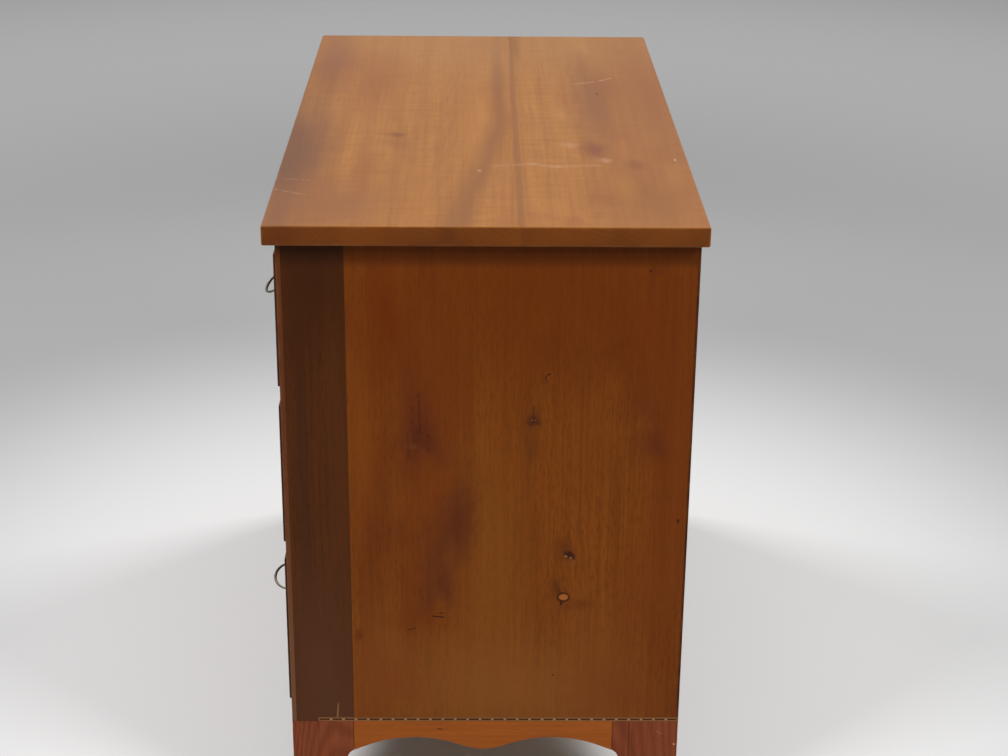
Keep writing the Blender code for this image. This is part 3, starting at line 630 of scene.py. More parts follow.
        graph.feed(shader.inputs["Normal"], bump.outputs[0])
        shader.inputs["Specular IOR Level"].default_value = self.specular
        shader.inputs["Sheen Weight"].default_value = self.sheen
        shader.inputs["Sheen Roughness"].default_value = SHEEN_ROUGHNESS
        return material


TOP_CHERRY = Wood(
    light=(0.358, 0.146, 0.0290),
    dark=(0.250, 0.086, 0.0175),
    blotch=(0.228, 0.068, 0.0165),
    pore=(0.125, 0.034, 0.0045),
    worn=(0.33, 0.14, 0.04),
    ring_share=0.12,
    fibre_strength=0.16,
    curl_strength=0.4,
    blotch_strength=0.55,
    fleck_strength=0.08,
    pore_strength=0.12,
    end_grain=0.92,
    end_tone=(0.142, 0.0340, 0.0019),
    end_dark=(0.072, 0.0150, 0.0008),
    end_rings=0.3,
    wear=0.12,
    specular=0.12,
    sheen=0.08,
    roughness=0.47,
)
END_CHERRY = Wood(
    light=(0.189, 0.0505, 0.0045),
    dark=(0.142, 0.0318, 0.0021),
    blotch=(0.106, 0.0198, 0.0024),
    pore=(0.070, 0.0165, 0.0016),
    worn=(0.19, 0.062, 0.012),
    ring_share=0.08,
    streak_share=0.5,
    fibre_strength=0.32,
    pore_strength=0.16,
    blotch_strength=0.6,
    fleck_strength=0.36,
)
DARK_CHERRY = Wood(
    light=(0.081, 0.0227, 0.0046),
    dark=(0.065, 0.0174, 0.0029),
    blotch=(0.055, 0.0130, 0.0050),
    pore=(0.026, 0.0070, 0.0016),
    worn=(0.10, 0.035, 0.012),
    cloud_share=0.15,
    blotch_strength=0.2,
    fibre_strength=0.32,
    fleck_strength=0.26,
)
FACING_CHERRY = Wood(
    light=(0.108, 0.032, 0.0095),
    dark=(0.084, 0.023, 0.0068),
    blotch=(0.11, 0.025, 0.009),
    pore=(0.07, 0.018, 0.006),
    worn=(0.20, 0.07, 0.03),
)
SKIRT_CHERRY = Wood(
    light=(0.338, 0.0900, 0.0135),
    dark=(0.288, 0.0740, 0.0105),
    blotch=(0.21, 0.048, 0.009),
    pore=(0.13, 0.030, 0.005),
    worn=(0.30, 0.10, 0.025),
    blotch_strength=0.2,
)
FOOT_CHERRY = Wood(
    light=(0.222, 0.0550, 0.0195),
    dark=(0.138, 0.0310, 0.0105),
    blotch=(0.14, 0.027, 0.011),
    pore=(0.070, 0.015, 0.005),
    worn=(0.22, 0.075, 0.03),
    ring_gap=0.0026,
    ring_share=0.6,
    streak_share=0.15,
    cloud_share=0.1,
    blotch_strength=0.2,
)
DRAWER_CHERRY = Wood(
    light=(0.196, 0.0580, 0.0085),
    dark=(0.150, 0.0385, 0.0050),
    blotch=(0.130, 0.0270, 0.0050),
    pore=(0.078, 0.0190, 0.0030),
    worn=(0.20, 0.070, 0.018),
    ring_gap=0.010,
    ring_share=0.25,
    specular=0.14,
)
BEAD_WOOD = Wood(
    light=(0.052, 0.020, 0.008),
    dark=(0.034, 0.012, 0.005),
    blotch=(0.03, 0.010, 0.004),
    pore=(0.02, 0.007, 0.003),
    worn=(0.10, 0.042, 0.018),
)
INLAY_STRIP = Wood(
    light=(0.250, 0.115, 0.045),
    dark=(0.190, 0.080, 0.028),
    blotch=(0.14, 0.052, 0.018),
    pore=(0.10, 0.036, 0.012),
    worn=(0.22, 0.10, 0.04),
    wear=0.0,
)
INLAY_LIGHT = Wood(
    light=(0.38, 0.190, 0.090),
    dark=(0.32, 0.150, 0.066),
    blotch=(0.35, 0.16, 0.07),
    pore=(0.26, 0.12, 0.05),
    worn=(0.44, 0.24, 0.12),
    wear=0.0,
)
INLAY_DARK = Wood(
    light=(0.062, 0.021, 0.006),
    dark=(0.042, 0.013, 0.004),
    blotch=(0.04, 0.012, 0.004),
    pore=(0.03, 0.009, 0.003),
    worn=(0.09, 0.035, 0.012),
    wear=0.0,
)
PINE = Wood(
    light=(0.43, 0.265, 0.120),
    dark=(0.33, 0.180, 0.072),
    blotch=(0.29, 0.150, 0.060),
    pore=(0.22, 0.110, 0.042),
    worn=(0.32, 0.19, 0.09),
    ring_gap=0.008,
    ring_share=0.5,
    streak_share=0.25,
    cloud_share=0.25,
    roughness=0.72,
    specular=0.2,
    bump=0.3,
)
OLD_PINE = Wood(
    light=(0.235, 0.133, 0.060),
    dark=(0.155, 0.080, 0.034),
    blotch=(0.11, 0.054, 0.024),
    pore=(0.08, 0.040, 0.018),
    worn=(0.24, 0.15, 0.08),
    ring_gap=0.010,
    ring_share=0.5,
    streak_share=0.25,
    cloud_share=0.25,
    blotch_strength=0.7,
    roughness=0.8,
    specular=0.2,
    bump=0.4,
)


@dataclass(frozen=True)
class Metal:
    """An aged metal: bare on what is rubbed, dark elsewhere."""

    bright: Colour
    tarnish: Colour
    dirt: Colour
    roughness: float

    def material(self, name: str) -> bpy.types.Material:
        """Builds this metal.

        Args:
            name: The material's name.

        Returns:
            The finished material.
        """
        material, graph, shader = new_material(name)
        place = graph.node("ShaderNodeTexCoord", {}).outputs["Object"]
        broad = BROAD_TARNISH.noise(graph, place).outputs[0]
        fine = FINE_TARNISH.noise(graph, place).outputs[0]
        dull = graph.ease(broad, BROAD_TARNISH.low, BROAD_TARNISH.high)
        dirty = graph.ease(fine, FINE_TARNISH.low, FINE_TARNISH.high)
        colour = graph.mix(dull, self.bright, self.tarnish)
        colour = graph.mix(dirty, colour, self.dirt)
        shine = graph.math("MULTIPLY_ADD", broad, TARNISH_SHINE, self.roughness - TARNISH_SHINE / 2)
        inputs = {"Strength": PITTING, "Distance": PIT_DEPTH, "Height": fine}
        bump = graph.node("ShaderNodeBump", inputs)
        graph.feed(shader.inputs["Base Color"], colour)
        graph.feed(shader.inputs["Roughness"], shine)
        graph.feed(shader.inputs["Normal"], bump.outputs[0])
        shader.inputs["Metallic"].default_value = 1.0
        return material


PLATE_BRASS = Metal((0.37, 0.275, 0.135), (0.215, 0.155, 0.078), (0.070, 0.050, 0.028), 0.36)
BAIL_BRASS = Metal((0.235, 0.200, 0.145), (0.105, 0.088, 0.066), (0.036, 0.031, 0.026), 0.40)
NAIL_IRON = Metal((0.06, 0.045, 0.035), (0.03, 0.022, 0.018), (0.05, 0.022, 0.010), 0.7)


def plain_mesh(obj: bpy.types.Object) -> bpy.types.Object:
    """Turns an object's evaluated shape into its own plain mesh and drops its modifiers.

    Args:
        obj: The object to finish.

    Returns:
        The same object.
    """
    graph = bpy.context.evaluated_depsgraph_get()
    mesh = bpy.data.meshes.new_from_object(obj.evaluated_get(graph))
    obj.modifiers.clear()
    obj.data = mesh
    return obj


def add_object(name: str, mesh: bpy.types.Mesh) -> bpy.types.Object:
    """Links a new object at the origin.

    Args:
        name: The object's name.
        mesh: Its shape.

    Returns:
        The new object.
    """
    obj = bpy.data.objects.new(name, mesh)
    bpy.context.scene.collection.objects.link(obj)
    return obj


def finish_piece(obj: bpy.types.Object, body: str, slot: str, *nodes: str) -> None:
    """Hands a finished piece to the frame.

    Args:
        obj: The piece.
        body: The frame body that it moves with.
        slot: The record's material slot; not used.
        nodes: The frame nodes that it stands for.
    """
    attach(obj, body)
    if nodes:
        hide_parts(*nodes)
    LOG.info("%s rides on %s", obj.name, body)


def on_face(co: Vector, face: Face, low: Vector, high: Vector) -> bool:
    """Whether a point lies on a side of a box."""
    axis, is_high = face.value
    return abs(co[axis] - (high if is_high else low)[axis]) < WELD


@dataclass(frozen=True)
class Board:
    """One board of the frame, with its arrises softened and its wood figured."""

    node: str
    wood: Wood
    grain: Grain
    slot: str
    seed: float
    body: str = "case"
    marks: tuple[Mark, ...] = ()
    end_marks: tuple[Mark, ...] = ()
    joints: tuple[Face, ...] = ()
    glued: tuple[Face, ...] = ()
    radius: float = 0.0006
    curved: bool = False

    def softened(self) -> bpy.types.Object:
        """A copy of the node with its triangles merged and its open arrises rounded.

        Returns:
            The new object.
        """
        source = bpy.data.objects[self.node].data
        low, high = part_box(self.node)
        mesh = bpy.data.meshes.new(f"{self.node}_board")
        faces = [list(face.vertices) for face in source.polygons]
        mesh.from_pydata([vert.co.copy() for vert in source.vertices], [], faces)
        shape = bmesh.new()
        shape.from_mesh(mesh)
        bmesh.ops.remove_doubles(shape, verts=shape.verts, dist=WELD)
        bmesh.ops.dissolve_limit(shape, angle_limit=FLAT_ANGLE, verts=shape.verts, edges=shape.edges)
        weight = shape.edges.layers.float.new("bevel_weight_edge")
        for edge in shape.edges:
            edge[weight] = float(self.is_arris(edge, low, high))
        self.close_glue(shape, low, high)
        shape.to_mesh(mesh)
        shape.free()
        mesh.shade_smooth()
        obj = add_object(mesh.name, mesh)
        bevel = obj.modifiers.new("arris", "BEVEL")
        bevel.width = self.radius
        bevel.segments = ARRIS_STEPS
        bevel.limit_method = "WEIGHT"
        plain_mesh(obj)
        obj.data.set_sharp_from_angle(angle=SHARP_ANGLE)
        normals = obj.modifiers.new("flat_faces", "WEIGHTED_NORMAL")
        normals.keep_sharp = True
        normals.weight = FACE_WEIGHT
        return plain_mesh(obj)

    def is_arris(self, edge: bmesh.types.BMEdge, low: Vector, high: Vector) -> bool:
        """Whether an edge is an open outer arris, which wear has rounded.

        Args:
            edge: The edge.
            low: The board's lowest corner.
            high: The board's highest corner.

        Returns:
            True for an arris.
        """
        if not edge.is_manifold or not edge.is_convex or edge.calc_face_angle() < ARRIS_ANGLE:
            return False
        faces = [face for face in Face if all(on_face(vert.co, face, low, high) for vert in edge.verts)]
        if any(face in self.joints or face in self.glued for face in faces):
            return False
        return self.curved or len(faces) >= 2

    def close_glue(self, shape: bmesh.types.BMesh, low: Vector, high: Vector) -> None:
        """Moves glued faces out to the middle of the frame's joint gap, so that the joint is shut.

        Args:
            shape: The board's mesh.
            low: The board's lowest corner.
            high: The board's highest corner.
        """
        for face in self.glued:
            axis, is_high = face.value
            for vert in [vert for vert in shape.verts if on_face(vert.co, face, low, high)]:
                vert.co[axis] += GLUE_REACH if is_high else -GLUE_REACH

    def wear_box(self) -> tuple[Point, Point]:
        """The board's corners, moved well away where a joint hides the edge.

        Returns:
            The lowest and the highest corner.
        """
        corners = [list(corner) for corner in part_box(self.node)]
        for face in (*self.joints, *self.glued):
            axis, is_high = face.value
            corners[is_high][axis] += HIDDEN_REACH if is_high else -HIDDEN_REACH
        return tuple(corners[0]), tuple(corners[1])

    def build(self) -> None:
        """Makes the board and dresses it."""
        obj = self.softened()
        low, high = self.wear_box()
        name = f"{self.slot}_{self.node}"
        obj.data.materials.clear()
        obj.data.materials.append(
            self.wood.material(name, self.grain, self.seed, self.marks, low, high, self.end_marks)
        )
        finish_piece(obj, self.body, self.slot, self.node)


PALE = (0.47, 0.27, 0.14)
TOP = 0.8132
END = 0.4675
TOP_MARK_DEPTH = 0.05
END_MARK_DEPTH = 0.03
KNOT_BROWN = (0.050, 0.0125, 0.0040)
FLECK = (0.21, 0.085, 0.035)
PATCH_RED = (0.085, 0.0160, 0.0040)
RED_TONE = (0.130, 0.0260, 0.0028)
GOLD_TONE = (0.185, 0.0580, 0.0065)
CHECK_BLACK = (0.018, 0.0060, 0.0030)
END_SHADE = (0.072, 0.0150, 0.0008)
END_GLOW = (0.150, 0.0350, 0.0016)


def on_top(x: float, y: float) -> Point:
    """A point on the top, from millimetres."""
    return (x / 1000, y / 1000, TOP)


def on_right(y: float, z: float) -> Point:
    """A point on the right end, from millimetres."""
    return (END, y / 1000, z / 1000)


def on_left(y: float, z: float) -> Point:
    """A point on the left end, from millimetres."""
    return (-END, y / 1000, z / 1000)


def wide_top(x: float, y: float) -> Point:
    """Radii of a patch on the top, from millimetres."""
    return (x / 1000, y / 1000, TOP_MARK_DEPTH)


def wide_end(y: float, z: float) -> Point:
    """Radii of a patch on an end, from millimetres."""
    return (END_MARK_DEPTH, y / 1000, z / 1000)


@dataclass(frozen=True)
class Top:
    """The two boards of the top, with the front board's heart streak and the marks of use."""

    arris: float = 0.0008
    front_seed: float = 1.0
    rear_seed: float = 4.0
    DULL = (0.182, 0.064, 0.024)
    HEART = (0.216, 0.080, 0.0200)
    FRONT_MARKS = (
        Spot(on_top(40, 5), wide_top(420, 42), (0.365, 0.145, 0.026), 0.5, 1.0, 0.15),
        Streak(
            reach=1.0,
            drift=(
                (-0.50, 0.029),
                (-0.20, 0.031),
                (0.05, 0.028),
                (0.16, 0.016),
                (0.31, 0.000),
                (0.50, -0.028),
            ),
            front_width=0.024,
            rear_width=0.017,
            colour=HEART,
            strength=0.9,
            spread=1.2,
        ),
        Line(on_top(-500, 49.2), on_top(500, 49.2), 0.0050, HEART, 0.75, 0.2),
        Spot(on_top(-330, -215), wide_top(330, 60), DULL, 0.8, 1.0, 0.25),
        # Painted sheen: a paler, bluer patch over the far end of the top.
        Spot(on_top(-430, 0), wide_top(330, 420), (0.320, 0.150, 0.0520), 0.5, 1.0),
        Spot(on_top(230, -236), wide_top(560, 80), (0.122, 0.047, 0.0225), 0.9, 1.0, 0.25),
        Spot(on_top(400, -175), wide_top(170, 110), (0.222, 0.080, 0.024), 0.85, 1.0, 0.3),
        Spot(on_top(-200, -150), wide_top(260, 80), (0.245, 0.078, 0.020), 0.6, 1.0, 0.35),
        Spot(on_top(260, -140), wide_top(170, 30), (0.235, 0.072, 0.017), 0.6, 1.0, 0.3),
        Spot(on_top(100, -106), wide_top(20, 20), (0.165, 0.052, 0.012), 0.75, 0.9, 0.5),
        Spot(on_top(140, -100), wide_top(40, 26), (0.215, 0.070, 0.018), 0.5, 1.0, 0.3),
        Line(on_top(342, -243), on_top(366, -204), 0.0030, PALE, 0.25, 0.4),
        Line(on_top(300, -235), on_top(306, -200), 0.0030, PALE, 0.18, 0.4),
        Line(on_top(241, 22), on_top(236, 49), 0.0075, PALE, 0.16, 0.3),
        Spot(on_top(262, 2), wide_top(9, 4), PALE, 0.4, 0.8, 0.5),
    )
    REAR_MARKS = (
        # Painted sheen: a paler, bluer patch over the far end of the top.
        Spot(on_top(-430, 150), wide_top(330, 300), (0.310, 0.148, 0.0500), 0.5, 1.0),
        Spot(on_top(-80, 158), wide_top(380, 52), (0.188, 0.068, 0.0235), 0.78, 1.0, 0.35),
        Line(on_top(-500, 50.2), on_top(500, 50.2), 0.0050, HEART, 0.75, 0.2),
        Spot(on_top(-440, 56), wide_top(200, 17), HEART, 0.7, 1.0, 0.2),
        Spot(on_top(-100, 235), wide_top(640, 100), (0.228, 0.080, 0.023), 0.8, 1.0, 0.25),
        Spot(on_top(165, 148), wide_top(62, 26), (0.180, 0.052, 0.020), 0.8, 0.9, 0.4),
        Spot(on_top(235, 196), wide_top(34, 20), (0.190, 0.062, 0.014), 0.7, 0.9, 0.4),
        Spot(on_top(145, 118), wide_top(26, 18), (0.40, 0.20, 0.09), 0.45, 1.0, 0.4),
        Spot(on_top(215, 160), wide_top(16, 14), (0.40, 0.22, 0.12), 0.5, 1.0, 0.5),
        Spot(on_top(-4, 112), wide_top(50, 13), (0.40, 0.175, 0.050), 0.4, 1.0, 0.3),
        Spot(on_top(390, 205), wide_top(220, 100), (0.222, 0.078, 0.0190), 0.8, 1.0, 0.3),
        Spot(on_top(330, 175), wide_top(100, 26), (0.345, 0.140, 0.022), 0.4, 1.0, 0.3),
        Spot(on_top(-119, 168.5), wide_top(9, 2.6), (0.11, 0.030, 0.010), 0.8, 0.6),
        Spot(on_top(211, 247.6), wide_top(5, 1.6), (0.60, 0.45, 0.32), 0.6, 0.6),
        Line(on_top(-176, 140), on_top(-189, 167), 0.0040, PALE, 0.36, 0.35),
        Line(on_top(-195, 177), on_top(-213, 193), 0.0040, PALE, 0.36, 0.35),
        Line(on_top(236, 50), on_top(232, 69), 0.0080, PALE, 0.18, 0.3),
        Line(on_top(232, 69), on_top(243, 98), 0.0085, PALE, 0.20, 0.3),
        Line(on_top(243, 98), on_top(236, 150), 0.0085, PALE, 0.17, 0.3),
    )
    FRONT_END_MARKS = (
        Spot(on_right(-225, 800), wide_end(70, 60), END_SHADE, 0.75, 1.0, 0.3),
        Spot(on_right(-110, 800), wide_end(75, 60), END_GLOW, 0.6, 1.0, 0.3),
        Spot(on_right(-38, 800), wide_end(28, 60), END_SHADE, 0.85, 1.0, 0.3),
        Spot(on_right(45, 800), wide_end(38, 60), END_GLOW, 0.9, 1.0, 0.3),
    )
    REAR_END_MARKS = (
        Spot(on_right(70, 800), wide_end(95, 60), END_GLOW, 0.7, 1.0, 0.3),
    )

    def build(self) -> None:
        """Makes both boards."""
        for node, seed, marks, end_marks, glued in (
            ("top_front_board", self.front_seed, self.FRONT_MARKS, self.FRONT_END_MARKS, Face.BACK),
            ("top_rear_board", self.rear_seed, self.REAR_MARKS, self.REAR_END_MARKS, Face.FRONT),
        ):
            Board(
                node, TOP_CHERRY, Grain.X, "top_wood", seed, marks=marks, end_marks=end_marks,
                glued=(glued,), curved=True, radius=self.arris,
            ).build()


@dataclass(frozen=True)
class Ends:
    """Both ends of the case: a wide panel, a dark board before it and a thin facing."""

    right_seed: float = 2.0
    left_seed: float = 7.0
    # Painted shadow: a dark band across the panel just under the top's overhang.
    UNDER_TOP_PAINTED_SHADOW = Spot(on_right(10, 770), wide_end(1500, 15), (0.050, 0.0110, 0.0008), 0.64, 1.0)
    STAR_KNOT = Knot(
        on_right(66.5, 568),
        wide_end(32, 60),
        (
            Spot(on_right(66, 534), wide_end(14, 32), (0.092, 0.0262, 0.0050), 0.65, 1.0, 0.3),
            Spot(on_right(67, 578), wide_end(7, 14), (0.095, 0.026, 0.0035), 0.6, 1.0, 0.3),
            Line(on_right(66.5, 572), on_right(66.7, 586), 0.0020, KNOT_BROWN, 0.55),
            Spot(on_right(67, 567), wide_end(17, 17), (0.078, 0.0190, 0.0042), 0.75, 1.0, 0.35),
            Spot(on_right(66.5, 568), wide_end(9.5, 9), (0.052, 0.0130, 0.0050), 0.85, 0.8, 0.35),
            Spot(on_right(72.4, 564), wide_end(1.8, 1.8), CHECK_BLACK, 0.5),
            Spot(on_right(63, 562.5), wide_end(1.8, 1.6), CHECK_BLACK, 0.35),
            Spot(on_right(65, 569), wide_end(1.5, 1.3), FLECK, 0.7),
            Spot(on_right(69, 568.5), wide_end(1.3, 1.1), FLECK, 0.6),
            Line(on_right(62, 560), on_right(66, 550), 0.0022, (0.10, 0.027, 0.0035), 0.4),
        ),
    )
    HOOK_KNOT = Knot(
        on_right(82.5, 623),
        wide_end(18, 34),
        (
            Spot(on_right(81, 610), wide_end(12, 20), (0.125, 0.034, 0.0035), 0.5, 1.0, 0.2),
            Spot(on_right(84.4, 627.5), wide_end(2.8, 2.0), KNOT_BROWN, 0.95, 0.6, 0.2),
            Line(on_right(82.2, 627), on_right(80.2, 622.5), 0.0014, KNOT_BROWN, 0.8),
            Line(on_right(80.2, 622.5), on_right(82.0, 617.5), 0.0014, KNOT_BROWN, 0.6),
        ),
    )
    TORN_KNOT = Knot(
        on_right(112.5, 389),
        wide_end(30, 50),
        (
            Spot(on_right(106, 399), wide_end(20, 20), (0.092, 0.0220, 0.0045), 0.65, 1.0, 0.35),
            Spot(
                on_right(113.5, 389.5), wide_end(11, 6.5), (0.036, 0.0095, 0.0035), 0.95, 0.6, 0.3, 0.45
            ),
            Spot(on_right(116.5, 382), wide_end(5, 3.6), (0.135, 0.046, 0.022), 0.7, 0.9, 0.3),
            Spot(on_right(108.7, 388), wide_end(2.8, 1.7), (0.22, 0.095, 0.042), 0.95, 0.5, 0.2, 0.3),
            Spot(on_right(114.7, 386), wide_end(2.0, 1.8), (0.20, 0.090, 0.046), 0.9, 0.5, 0.2),
        ),
    )
    ROUND_KNOT = Knot(
        on_right(106.6, 331.5),
        wide_end(30, 50),
        (
            Spot(on_right(97, 346), wide_end(12, 17), (0.080, 0.0200, 0.0045), 0.75, 1.0, 0.4),
            Spot(on_right(128, 322), wide_end(26, 12), (0.100, 0.0230, 0.0040), 0.6, 1.0, 0.4),
            Spot(on_right(101, 339), wide_end(5, 6), KNOT_BROWN, 0.7, 0.9, 0.3),
            Spot(on_right(110, 318), wide_end(10, 14), (0.12, 0.028, 0.0045), 0.5, 1.0, 0.3),
            Spot(on_right(106.6, 331.5), wide_end(9.8, 8.4), (0.036, 0.0090, 0.0030), 0.95, 0.35, 0.1),
            Spot(on_right(104.3, 323), wide_end(2.2, 4.0), (0.030, 0.0080, 0.0030), 0.9, 0.6, 0.2),
            Spot(on_right(106.9, 331.7), wide_end(6.4, 4.9), (0.280, 0.085, 0.018), 1.0, 0.25),
            Spot(on_right(106.9, 331.2), wide_end(3.4, 1.2), (0.34, 0.120, 0.030), 0.6, 0.7),
        ),
    )
    RIGHT_PANEL_MARKS = (
        Spot(on_right(20, 340), wide_end(80, 330), GOLD_TONE, 0.55, 1.0, 0.2),
        Spot(on_right(-65, 500), wide_end(75, 340), RED_TONE, 0.6, 1.0, 0.35),
        Spot(on_right(-25, 600), wide_end(30, 110), RED_TONE, 0.5, 1.0, 0.4),
        Spot(on_right(235, 470), wide_end(48, 400), RED_TONE, 0.6, 1.0, 0.2),
        Spot(on_right(60, 735), wide_end(420, 230), (0.104, 0.0182, 0.0006), 0.7, 1.0, 0.15),
        Spot(on_right(30, 195), wide_end(260, 120), (0.205, 0.0700, 0.0140), 0.65, 1.0, 0.2),
        Spot(on_right(-115, 260), wide_end(60, 120), (0.190, 0.0560, 0.0090), 0.5, 1.0, 0.2),
        Spot(on_right(150, 260), wide_end(80, 120), (0.190, 0.0560, 0.0090), 0.4, 1.0, 0.2),
        Spot(on_right(170, 195), wide_end(90, 60), (0.150, 0.0350, 0.0060), 0.6, 1.0, 0.6),
        Spot(on_right(-110, 210), wide_end(70, 70), (0.160, 0.0370, 0.0060), 0.55, 1.0, 0.6),
        Spot(on_right(-108, 690), wide_end(44, 110), (0.112, 0.0180, 0.0010), 0.78, 1.0, 0.5),
        Spot(on_right(-138, 520), wide_end(26, 190), (0.172, 0.0400, 0.0036), 0.6, 1.0, 0.4),
        Spot(on_right(135, 530), wide_end(60, 130), (0.132, 0.0300, 0.0030), 0.5, 1.0, 0.5),
        Spot(on_right(200, 655), wide_end(50, 110), (0.125, 0.0225, 0.0014), 0.5, 1.0, 0.5),
        Spot(on_right(195, 330), wide_end(40, 110), (0.140, 0.0300, 0.0040), 0.45, 1.0, 0.6),
        STAR_KNOT,
        HOOK_KNOT,
        TORN_KNOT,
        ROUND_KNOT,
        Spot(on_right(-70, 554), wide_end(46, 92), PATCH_RED, 0.72, 1.0, 0.7),
        Spot(on_right(-71, 543), wide_end(26, 34), (0.072, 0.0150, 0.0045), 0.7, 1.0, 0.7),
        Line(on_right(-69, 602), on_right(-67, 552), 0.0020, (0.050, 0.0110, 0.0035), 0.6, 0.35),
        Line(on_right(-76, 585), on_right(-75, 540), 0.0018, (0.050, 0.0110, 0.0035), 0.5, 0.42),
        Line(on_right(-60, 575), on_right(-57, 528), 0.0020, (0.050, 0.0110, 0.0035), 0.6, 0.40),
        Line(on_right(-83, 558), on_right(-81, 522), 0.0018, (0.050, 0.0110, 0.0035), 0.5, 0.42),
        Line(on_right(-71, 556), on_right(-70, 518), 0.0018, (0.050, 0.0110, 0.0035), 0.45, 0.45),
        Line(on_right(-55, 560), on_right(-54, 520), 0.0016, (0.050, 0.0110, 0.0035), 0.45, 0.45),
        Spot(on_right(-76, 534), wide_end(9, 6), (0.130, 0.0400, 0.0130), 0.45, 1.0, 0.5),
        Spot(on_right(-28, 430), wide_end(44, 92), (0.074, 0.0165, 0.0046), 0.78, 1.0, 0.6, 0.35),
        Spot(on_right(-45, 348), wide_end(34, 60), (0.078, 0.0175, 0.0050), 0.75, 1.0, 0.6, 0.2),
        Spot(on_right(-100, 415), wide_end(44, 44), PATCH_RED, 0.35, 1.0, 0.4),
        Spot(on_right(-70, 300), wide_end(60, 30), RED_TONE, 0.6, 1.0, 0.3),
        Line(on_right(-53, 304.8), on_right(-40, 303.2), 0.0015, CHECK_BLACK, 0.85),
        Line(on_right(-45, 309), on_right(-40, 309), 0.0013, CHECK_BLACK, 0.75),
        Line(on_right(-84, 285.5), on_right(-75, 288), 0.0013, CHECK_BLACK, 0.65),
        Spot(on_right(96.2, 221.3), wide_end(2.0, 1.5), CHECK_BLACK, 0.85),
        Spot(on_right(198.4, 756), wide_end(2.2, 1.9), CHECK_BLACK, 0.9),
        Spot(on_right(206, 754), wide_end(11, 7), PATCH_RED, 0.6, 1.0, 0.3),
        Spot(on_right(243.2, 436.4), wide_end(2.4, 4.0), CHECK_BLACK, 0.8),
        Spot(on_right(206, 537), wide_end(32, 36), PATCH_RED, 0.6, 1.0, 0.4),
        Spot(on_right(190, 585), wide_end(44, 34), PATCH_RED, 0.35, 1.0, 0.4),
        Line(on_right(70, 300), on_right(64, 185), 0.0020, GOLD_TONE, 0.5, 0.35),
        Line(on_right(82, 280), on_right(80, 170), 0.0020, GOLD_TONE, 0.4, 0.35),
        Line(on_right(30, 310), on_right(26, 175), 0.0026, GOLD_TONE, 0.4, 0.35),
        Spot(on_right(-145, 278), wide_end(8, 15), PATCH_RED, 0.7, 1.0, 0.3),
        # Painted shade: a dark line down the panel's rear arris.
        Line(on_right(254.6, 160), on_right(254.6, 788), 0.0030, (0.026, 0.0070, 0.0026), 0.9),
        # The painted shadow under the top's overhang.
        UNDER_TOP_PAINTED_SHADOW,
    )
    LEFT_PANEL_MARKS = (
        Knot(
            on_left(30, 470),
            wide_end(30, 50),
            (Spot(on_left(30, 470), wide_end(7, 6), KNOT_BROWN, 0.9, 0.6, 0.4),),
        ),
        Spot(on_left(-70, 620), wide_end(22, 80), PATCH_RED, 0.5, 1.0, 0.4),
        Spot(on_left(150, 360), wide_end(30, 70), PATCH_RED, 0.4, 1.0, 0.5),
    )
    DARK_MARKS = (
        Spot(on_right(-208, 480), wide_end(17, 420), (0.042, 0.0128, 0.0045), 0.55, 1.0, 0.2),
        Spot(on_right(-190, 745), wide_end(110, 210), (0.037, 0.0092, 0.0014), 0.85, 1.0, 0.2),
        Spot(on_right(-190, 190), wide_end(90, 260), (0.078, 0.0275, 0.0118), 0.95, 1.0, 0.2),
        Spot(on_right(-165, 470), wide_end(26, 380), (0.070, 0.0202, 0.0038), 0.5, 1.0, 0.3),
        # Painted shadow: the same dark band under the top's overhang, on the dark board.
        Spot(on_right(10, 770), wide_end(1500, 15), (0.022, 0.0062, 0.0014), 0.62, 1.0),
        Line(on_right(-172.5, 180), on_right(-174.5, 152), 0.0016, (0.26, 0.15, 0.06), 0.55, 0.3),
    )
    FACING_MARKS = (
        Spot(on_right(-228, 165), wide_end(60, 420), (0.150, 0.0680, 0.0320), 0.75, 1.0, 0.1),
    )

    def build(self) -> None:
        """Makes the three pieces of each end."""
        sides = {
            "right": (self.right_seed, self.RIGHT_PANEL_MARKS, self.DARK_MARKS, self.FACING_MARKS),
            "left": (self.left_seed, self.LEFT_PANEL_MARKS, (), ()),
        }
        level = (Face.TOP, Face.UNDER)
        for side, (seed, panel_marks, dark_marks, facing_marks) in sides.items():
            Board(
                f"{side}_end_panel", END_CHERRY, Grain.Z, "end_wood", seed, marks=panel_marks,
                joints=level, glued=(Face.FRONT,),
            ).build()
            Board(
                f"{side}_end_front_board", DARK_CHERRY, Grain.Z, "dark_wood", seed + 1, marks=dark_marks,
                joints=level, glued=(Face.FRONT, Face.BACK),
            ).build()
            Board(
                f"{side}_front_facing", FACING_CHERRY, Grain.Z, "facing_wood", seed + 2,
                marks=facing_marks, joints=level, glued=(Face.BACK,),
            ).build()


@dataclass(frozen=True)
class Case:
    """Rails, runners, bottom, back and kickers."""

    rail_arris: float = 0.0004
    back_arris: float = 0.0008
    rail_seed: float = 11.0
    strip_seed: float = 17.0
    left_shift: float = 0.5
    bottom_seed: float = 23.0
    back_seed: float = 25.0
    RAILS = ("top_front_rail", "upper_blade", "lower_blade", "bottom_rail")
    STRIPS = ("upper_runner", "lower_runner", "kicker")

    def build(self) -> None:
        """Makes the boards between the ends."""
        for index, node in enumerate(self.RAILS):
            seed = self.rail_seed + index
            Board(node, DRAWER_CHERRY, Grain.X, "drawer_wood", seed, radius=self.rail_arris).build()
        for index, strip in enumerate(self.STRIPS):
            for side, shift in (("left", self.left_shift), ("right", 0.0)):
                seed = self.strip_seed + index + shift
                Board(f"{strip}_{side}", PINE, Grain.Y, "inside_wood", seed).build()
        Board("case_bottom", PINE, Grain.X, "inside_wood", self.bottom_seed).build()
        for index, node in enumerate(BACK_BOARDS):
            seed = self.back_seed + index
            Board(node, OLD_PINE, Grain.X, "inside_wood", seed, radius=self.back_arris).build()


